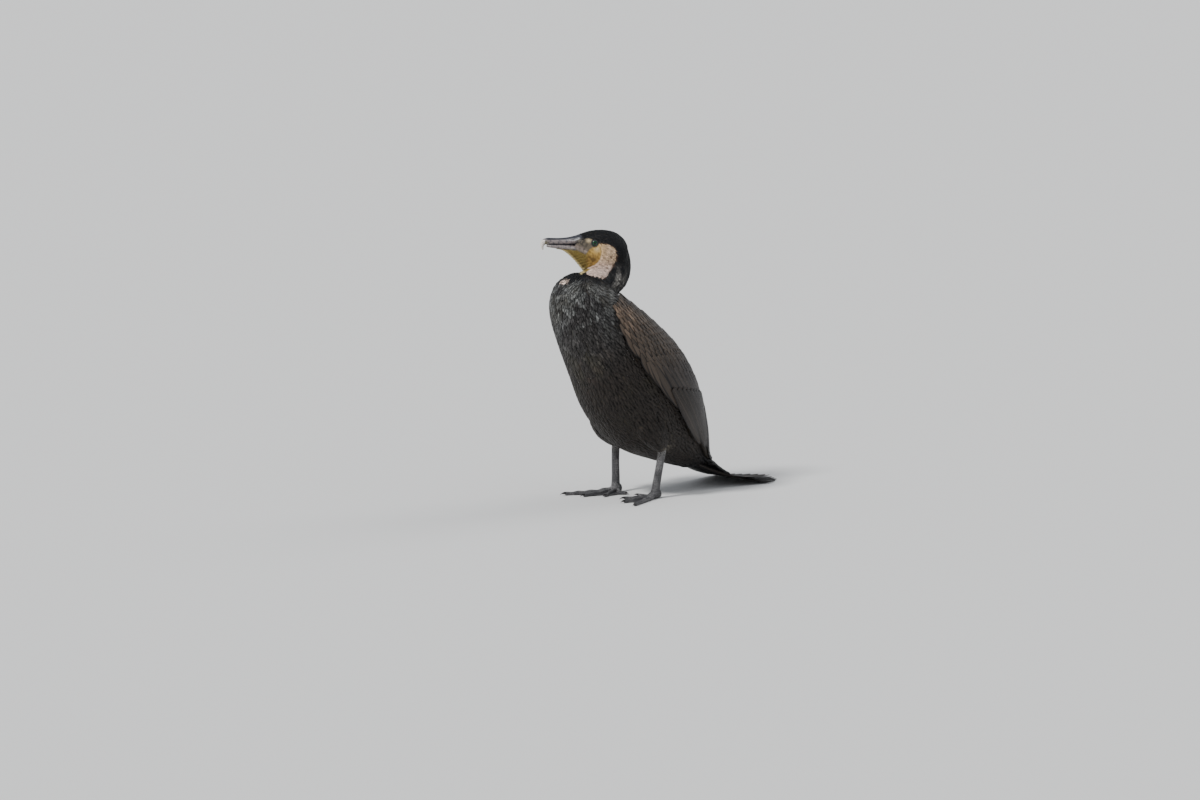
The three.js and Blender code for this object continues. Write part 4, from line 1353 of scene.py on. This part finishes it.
def eyeball(name, centre, facing, material):
    """A ball whose Rim says how far each point lies from the middle of the eye."""
    stations = around = 48
    radius = EYE_RADIUS - 0.1
    polar = np.linspace(0.02, np.pi - 0.02, stations)[:, None]
    turn = round_angles(around)[None, :]
    side = unit(np.cross(facing, UP))
    top = np.cross(side, facing)
    ring = side * np.cos(turn)[..., None] + top * np.sin(turn)[..., None]
    rings = centre + radius * (np.cos(polar)[..., None] * facing + np.sin(polar)[..., None] * ring)
    points, faces = loft_data(rings)
    piece = mesh_object("eyeball_" + name, points, faces, material)
    away = points - centre
    outward = dot(away, facing)
    rim = np.linalg.norm(away - facing * outward[:, None], axis=1) / radius
    store(piece, "Rim", np.where(outward > 0, rim, 1.0))
    finished(piece, "eye", "eye_" + name)


def eyelid(name, centre, facing, material):
    """A ring of beaded skin, wrapped close round the eyeball."""
    count, around, beads = 72, 10, 18
    long, high = 5.0, 4.6
    turn, section = round_angles(count)[:, None], round_angles(around)[None, :]
    thick = 0.85 + 0.16 * np.cos(turn * beads)
    ahead, above = np.cos(turn)[..., None], np.sin(turn)[..., None]
    out = HEAD_FORWARD * ahead + UP * above
    middle = centre + HEAD_FORWARD * (long * ahead) + UP * (high * above)
    swell = (thick * np.cos(section))[..., None]
    rise = (thick * 1.1 * np.sin(section))[..., None]
    rings = middle + out * swell + facing * rise
    faces = []
    for r in range(count):
        here, there = r * around, (r + 1) % count * around
        for i in range(around):
            j = (i + 1) % around
            faces.append((here + i, here + j, there + j, there + i))
    piece = mesh_object("eyelid_" + name, rings.reshape(-1, 3), faces, material)
    finished(piece, "plumage")


def dress_eyes():
    look, lid_look = eye_material(), lid_material()
    for name, side in SIDES:
        facing = HEAD_LEFT * side
        centre = EYE + facing * EYE_OUT
        eyeball(name, centre, facing, look)
        eyelid(name, centre + facing * LID_OUT, facing, lid_look)


# Legs and feet. The shank: forward, left, up, half width, reach to the front and to the back
SHANK = [
    (-8, 51, 84, 4.9, 7, 6.6),
    (-7, 50.5, 74, 5.4, 7.4, 6.8),
    (-4, 48, 50, 4.9, 7.2, 6.8),
    (-1, 44.5, 24, 5.3, 7.6, 6.8),
    (1, 43, 9, 6.2, 8, 7.4),
]
LEG_GREY = np.array([0.10, 0.097, 0.102])
# Painted highlight: silvery light on the scaly skin of the legs and feet
LEG_HIGHLIGHT = np.array([0.32, 0.31, 0.31])
WEB_GREY = np.array([0.052, 0.050, 0.053])
ANKLE_GREY = np.array([0.34, 0.32, 0.30])
# Inner to outer: degrees outwards from the foot's own forward, and the length to the claw
TOES = [
    dict(angle=-84, length=30, thick=3.1, joints=1),
    dict(angle=-33, length=50, thick=3.6, joints=2),
    dict(angle=-7, length=68, thick=3.8, joints=3),
    dict(angle=15, length=84, thick=3.9, joints=4),
]
CLAW_LENGTH = 11


def toe_along(angle, side):
    turn = math.radians(-side * (FOOT_TURN + angle))
    return np.array([-math.sin(turn), -math.cos(turn), 0.0])


def toe_point(angle, side, distance, up):
    start = np.array([FOOT[0] * side, FOOT[1], 0.0])
    return start + toe_along(angle, side) * distance + UP * up


def toe_loft(toe, side):
    path, sizes = [], []
    steps = 6 * toe["joints"] + 3
    for t in np.linspace(0, 1, steps):
        swell = 1 + 0.15 * math.cos(2 * math.pi * toe["joints"] * t)
        size = toe["thick"] * mix(1.25, 0.76, t) * swell
        up = mix(FOOT[2] - 2.5, 2.6, min(1, 3 * t))
        path.append(toe_point(toe["angle"], side, toe["length"] * t, up))
        sizes.append((size * 0.92, size, size))
    across = np.cross(toe_along(toe["angle"], side), UP)
    return tube(path, sizes, across, steps * 3, 20)


def web_loft(side, inner, outer):
    """The web between two toes, thin, sagging and drawn in between their tips."""
    rings = []
    for k in np.linspace(0, 1, 26):
        reach = mix(inner["length"], outer["length"], k) - 1
        bay = 1 - 0.3 * math.sin(math.pi * k) * (1 - 0.25 * abs(k - 0.5))
        angle = mix(inner["angle"], outer["angle"], k)
        pleat = 0.45 * math.sin(k * math.pi * 6)
        line = []
        for t in np.linspace(-0.06, 1, 24):
            out = max(t, 0)
            up = 1.35 + 1.6 * (1 - out) ** 3 + pleat * out
            line.append(toe_point(angle, side, reach * bay * t, up))
        top = np.array(line) + [0, 0, 0.5]
        low = np.array(line)[::-1] - [0, 0, 0.55]
        rings.append(np.vstack([top, low]))
    return np.array(rings)


def foot_form(name, side, material):
    shank = limb_loft(SHANK, side, 50, 28)
    knuckle = tube(
        [(FOOT[0] * side, 8, 9), (FOOT[0] * side, -3, 7), (FOOT[0] * side, -11, 4.5)],
        [(6.2, 5.6, 8.6), (7.6, 5.6, 7.4), (7.2, 3.6, 5.4)], -LEFT, 16, 24,
    )
    lofts = [shank, knuckle] + [toe_loft(toe, side) for toe in TOES]
    lofts += [web_loft(side, inner, outer) for inner, outer in zip(TOES, TOES[1:])]
    points, faces = joined(lofts)
    foot = mesh_object("foot_skin_" + name, points, faces, material)
    made_one(foot, 0.62, 4)
    points = points_of(foot)
    points[:, 2] = np.maximum(points[:, 2], 0.0)
    move_points(foot, points)
    away = points - toe_point(0, side, 0, 0)
    low = points[:, 2] < 16
    on_toe = np.zeros(len(points))
    for toe in TOES:
        along = toe_along(toe["angle"], side)
        aside = np.abs(np.cross(along[:2], away[:, :2]))
        on_toe = np.maximum(on_toe, bell(aside / 4.5) * (away @ along > 0))
    store(foot, "Lie", np.where(low, np.linalg.norm(away[:, :2], axis=1), points[:, 2]))
    paint(foot, "Tint", layered(points, LEG_GREY, [
        # Painted highlights: silvery mottles of light over the legs and feet
        (LEG_HIGHLIGHT, smooth(mottled(points, 12), -0.3, 0.9) * 0.6),
        (WEB_GREY, low * (1 - on_toe) * 0.75),
        (ANKLE_GREY, smooth(points[:, 2], 56, 76) * 0.6),
    ]))
    finished(foot, "leg", "foot_" + name, "shank_" + name)


def claw(toe, number, name, side, material):
    path, sizes = [], []
    base = toe["thick"] * 0.66
    for t in np.linspace(0, 1, 9):
        up = 2.9 + 1.6 * math.sin(math.pi * t * 0.8) - 2.2 * t * t
        path.append(toe_point(toe["angle"], side, toe["length"] - 2.5 + (CLAW_LENGTH + 1) * t, up))
        size = base * max(0.06, 1 - t**1.4)
        sizes.append((size * 0.78, size, size))
    across = np.cross(toe_along(toe["angle"], side), UP)
    points, faces = loft_data(tube(path, sizes, across, 28, 18))
    points[:, 2] = np.maximum(points[:, 2], 0.05)
    piece = mesh_object(f"claw_horn_{name}_{number}", points, faces, material)
    finished(piece, "claw", f"claw_{name}_{number}")


# The whole bird
skin = skin_form()
skin_points = points_of(skin)
paint(skin, "Tint", markings_and_painted_light(skin_points))
store(skin, "Bare", bare_skin(skin_points))
finished(skin, "plumage", "torso", "neck", "head", "thigh_left", "thigh_right")
dress_body(skin)
dress_wings(skin.data.materials[0])
dress_tail()
horn = bill_material()
upper_bill(horn)
lower_bill(horn)
dress_eyes()
leg_look, claw_look = leg_material(), claw_material()
for name, side in SIDES:
    foot_form(name, side, leg_look)
    for number, toe in enumerate(TOES, start=1):
        claw(toe, number, name, side, claw_look)


# Studio: a pale floor, soft lights and the photograph's point of view
VIEW_TURN, VIEW_RISE = math.radians(45), math.radians(8)
VIEW_RIGHT = np.array([math.cos(VIEW_TURN), math.sin(VIEW_TURN), 0])
LEVEL_BACK = np.array([math.sin(VIEW_TURN), -math.cos(VIEW_TURN), 0])
VIEW_BACK = LEVEL_BACK * math.cos(VIEW_RISE) + UP * math.sin(VIEW_RISE)
VIEW_UP = np.cross(VIEW_BACK, VIEW_RIGHT)
VIEW_MIDDLE = (-0.055, 0.1479)  # metres right of and above the floor point between the ankles
VIEW_WIDTH = 1.86
VIEW_DISTANCE = 12.0
SENSOR = 36.0


def aim(thing, target):
    thing.rotation_euler = (Vector(target) - thing.location).to_track_quat("-Z", "Y").to_euler()


def camera():
    target = SHIFT + VIEW_RIGHT * VIEW_MIDDLE[0] + VIEW_UP * VIEW_MIDDLE[1]
    data = bpy.data.cameras.new("camera")
    data.sensor_width = SENSOR
    data.lens = SENSOR * VIEW_DISTANCE / VIEW_WIDTH
    data.clip_end = 200
    thing = added("camera", data)
    thing.location = target + VIEW_BACK * VIEW_DISTANCE
    aim(thing, target)
    bpy.context.scene.camera = thing


def sun(name, right, up, back, strength, angle):
    """A soft sun that shines on the bird from a direction given as seen by the camera."""
    data = bpy.data.lights.new(name, "SUN")
    data.energy = strength
    data.angle = math.radians(angle)
    thing = added(name, data)
    thing.location = SHIFT + VIEW_RIGHT * right + LEVEL_BACK * back + UP * up
    aim(thing, SHIFT)


def studio():
    mesh = bpy.data.meshes.new("floor")
    reach = 40  # metres
    corners = [(x * reach, y * reach, 0) for x, y in ((-1, -1), (1, -1), (1, 1), (-1, 1))]
    mesh.from_pydata(corners, [], [(0, 1, 2, 3)])
    mesh.materials.append(floor_material())
    added("floor", mesh)
    world = bpy.data.worlds.new("studio")
    world.use_nodes = True
    background = world.node_tree.nodes["Background"]
    background.inputs["Color"].default_value = (0.86, 0.90, 0.96, 1)
    background.inputs["Strength"].default_value = 0.55
    bpy.context.scene.world = world
    sun("key", -3.0, 4.2, 3.0, 3.2, 10)
    sun("rim", 3.5, 3.0, -3.0, 0.8, 30)


camera()
studio()
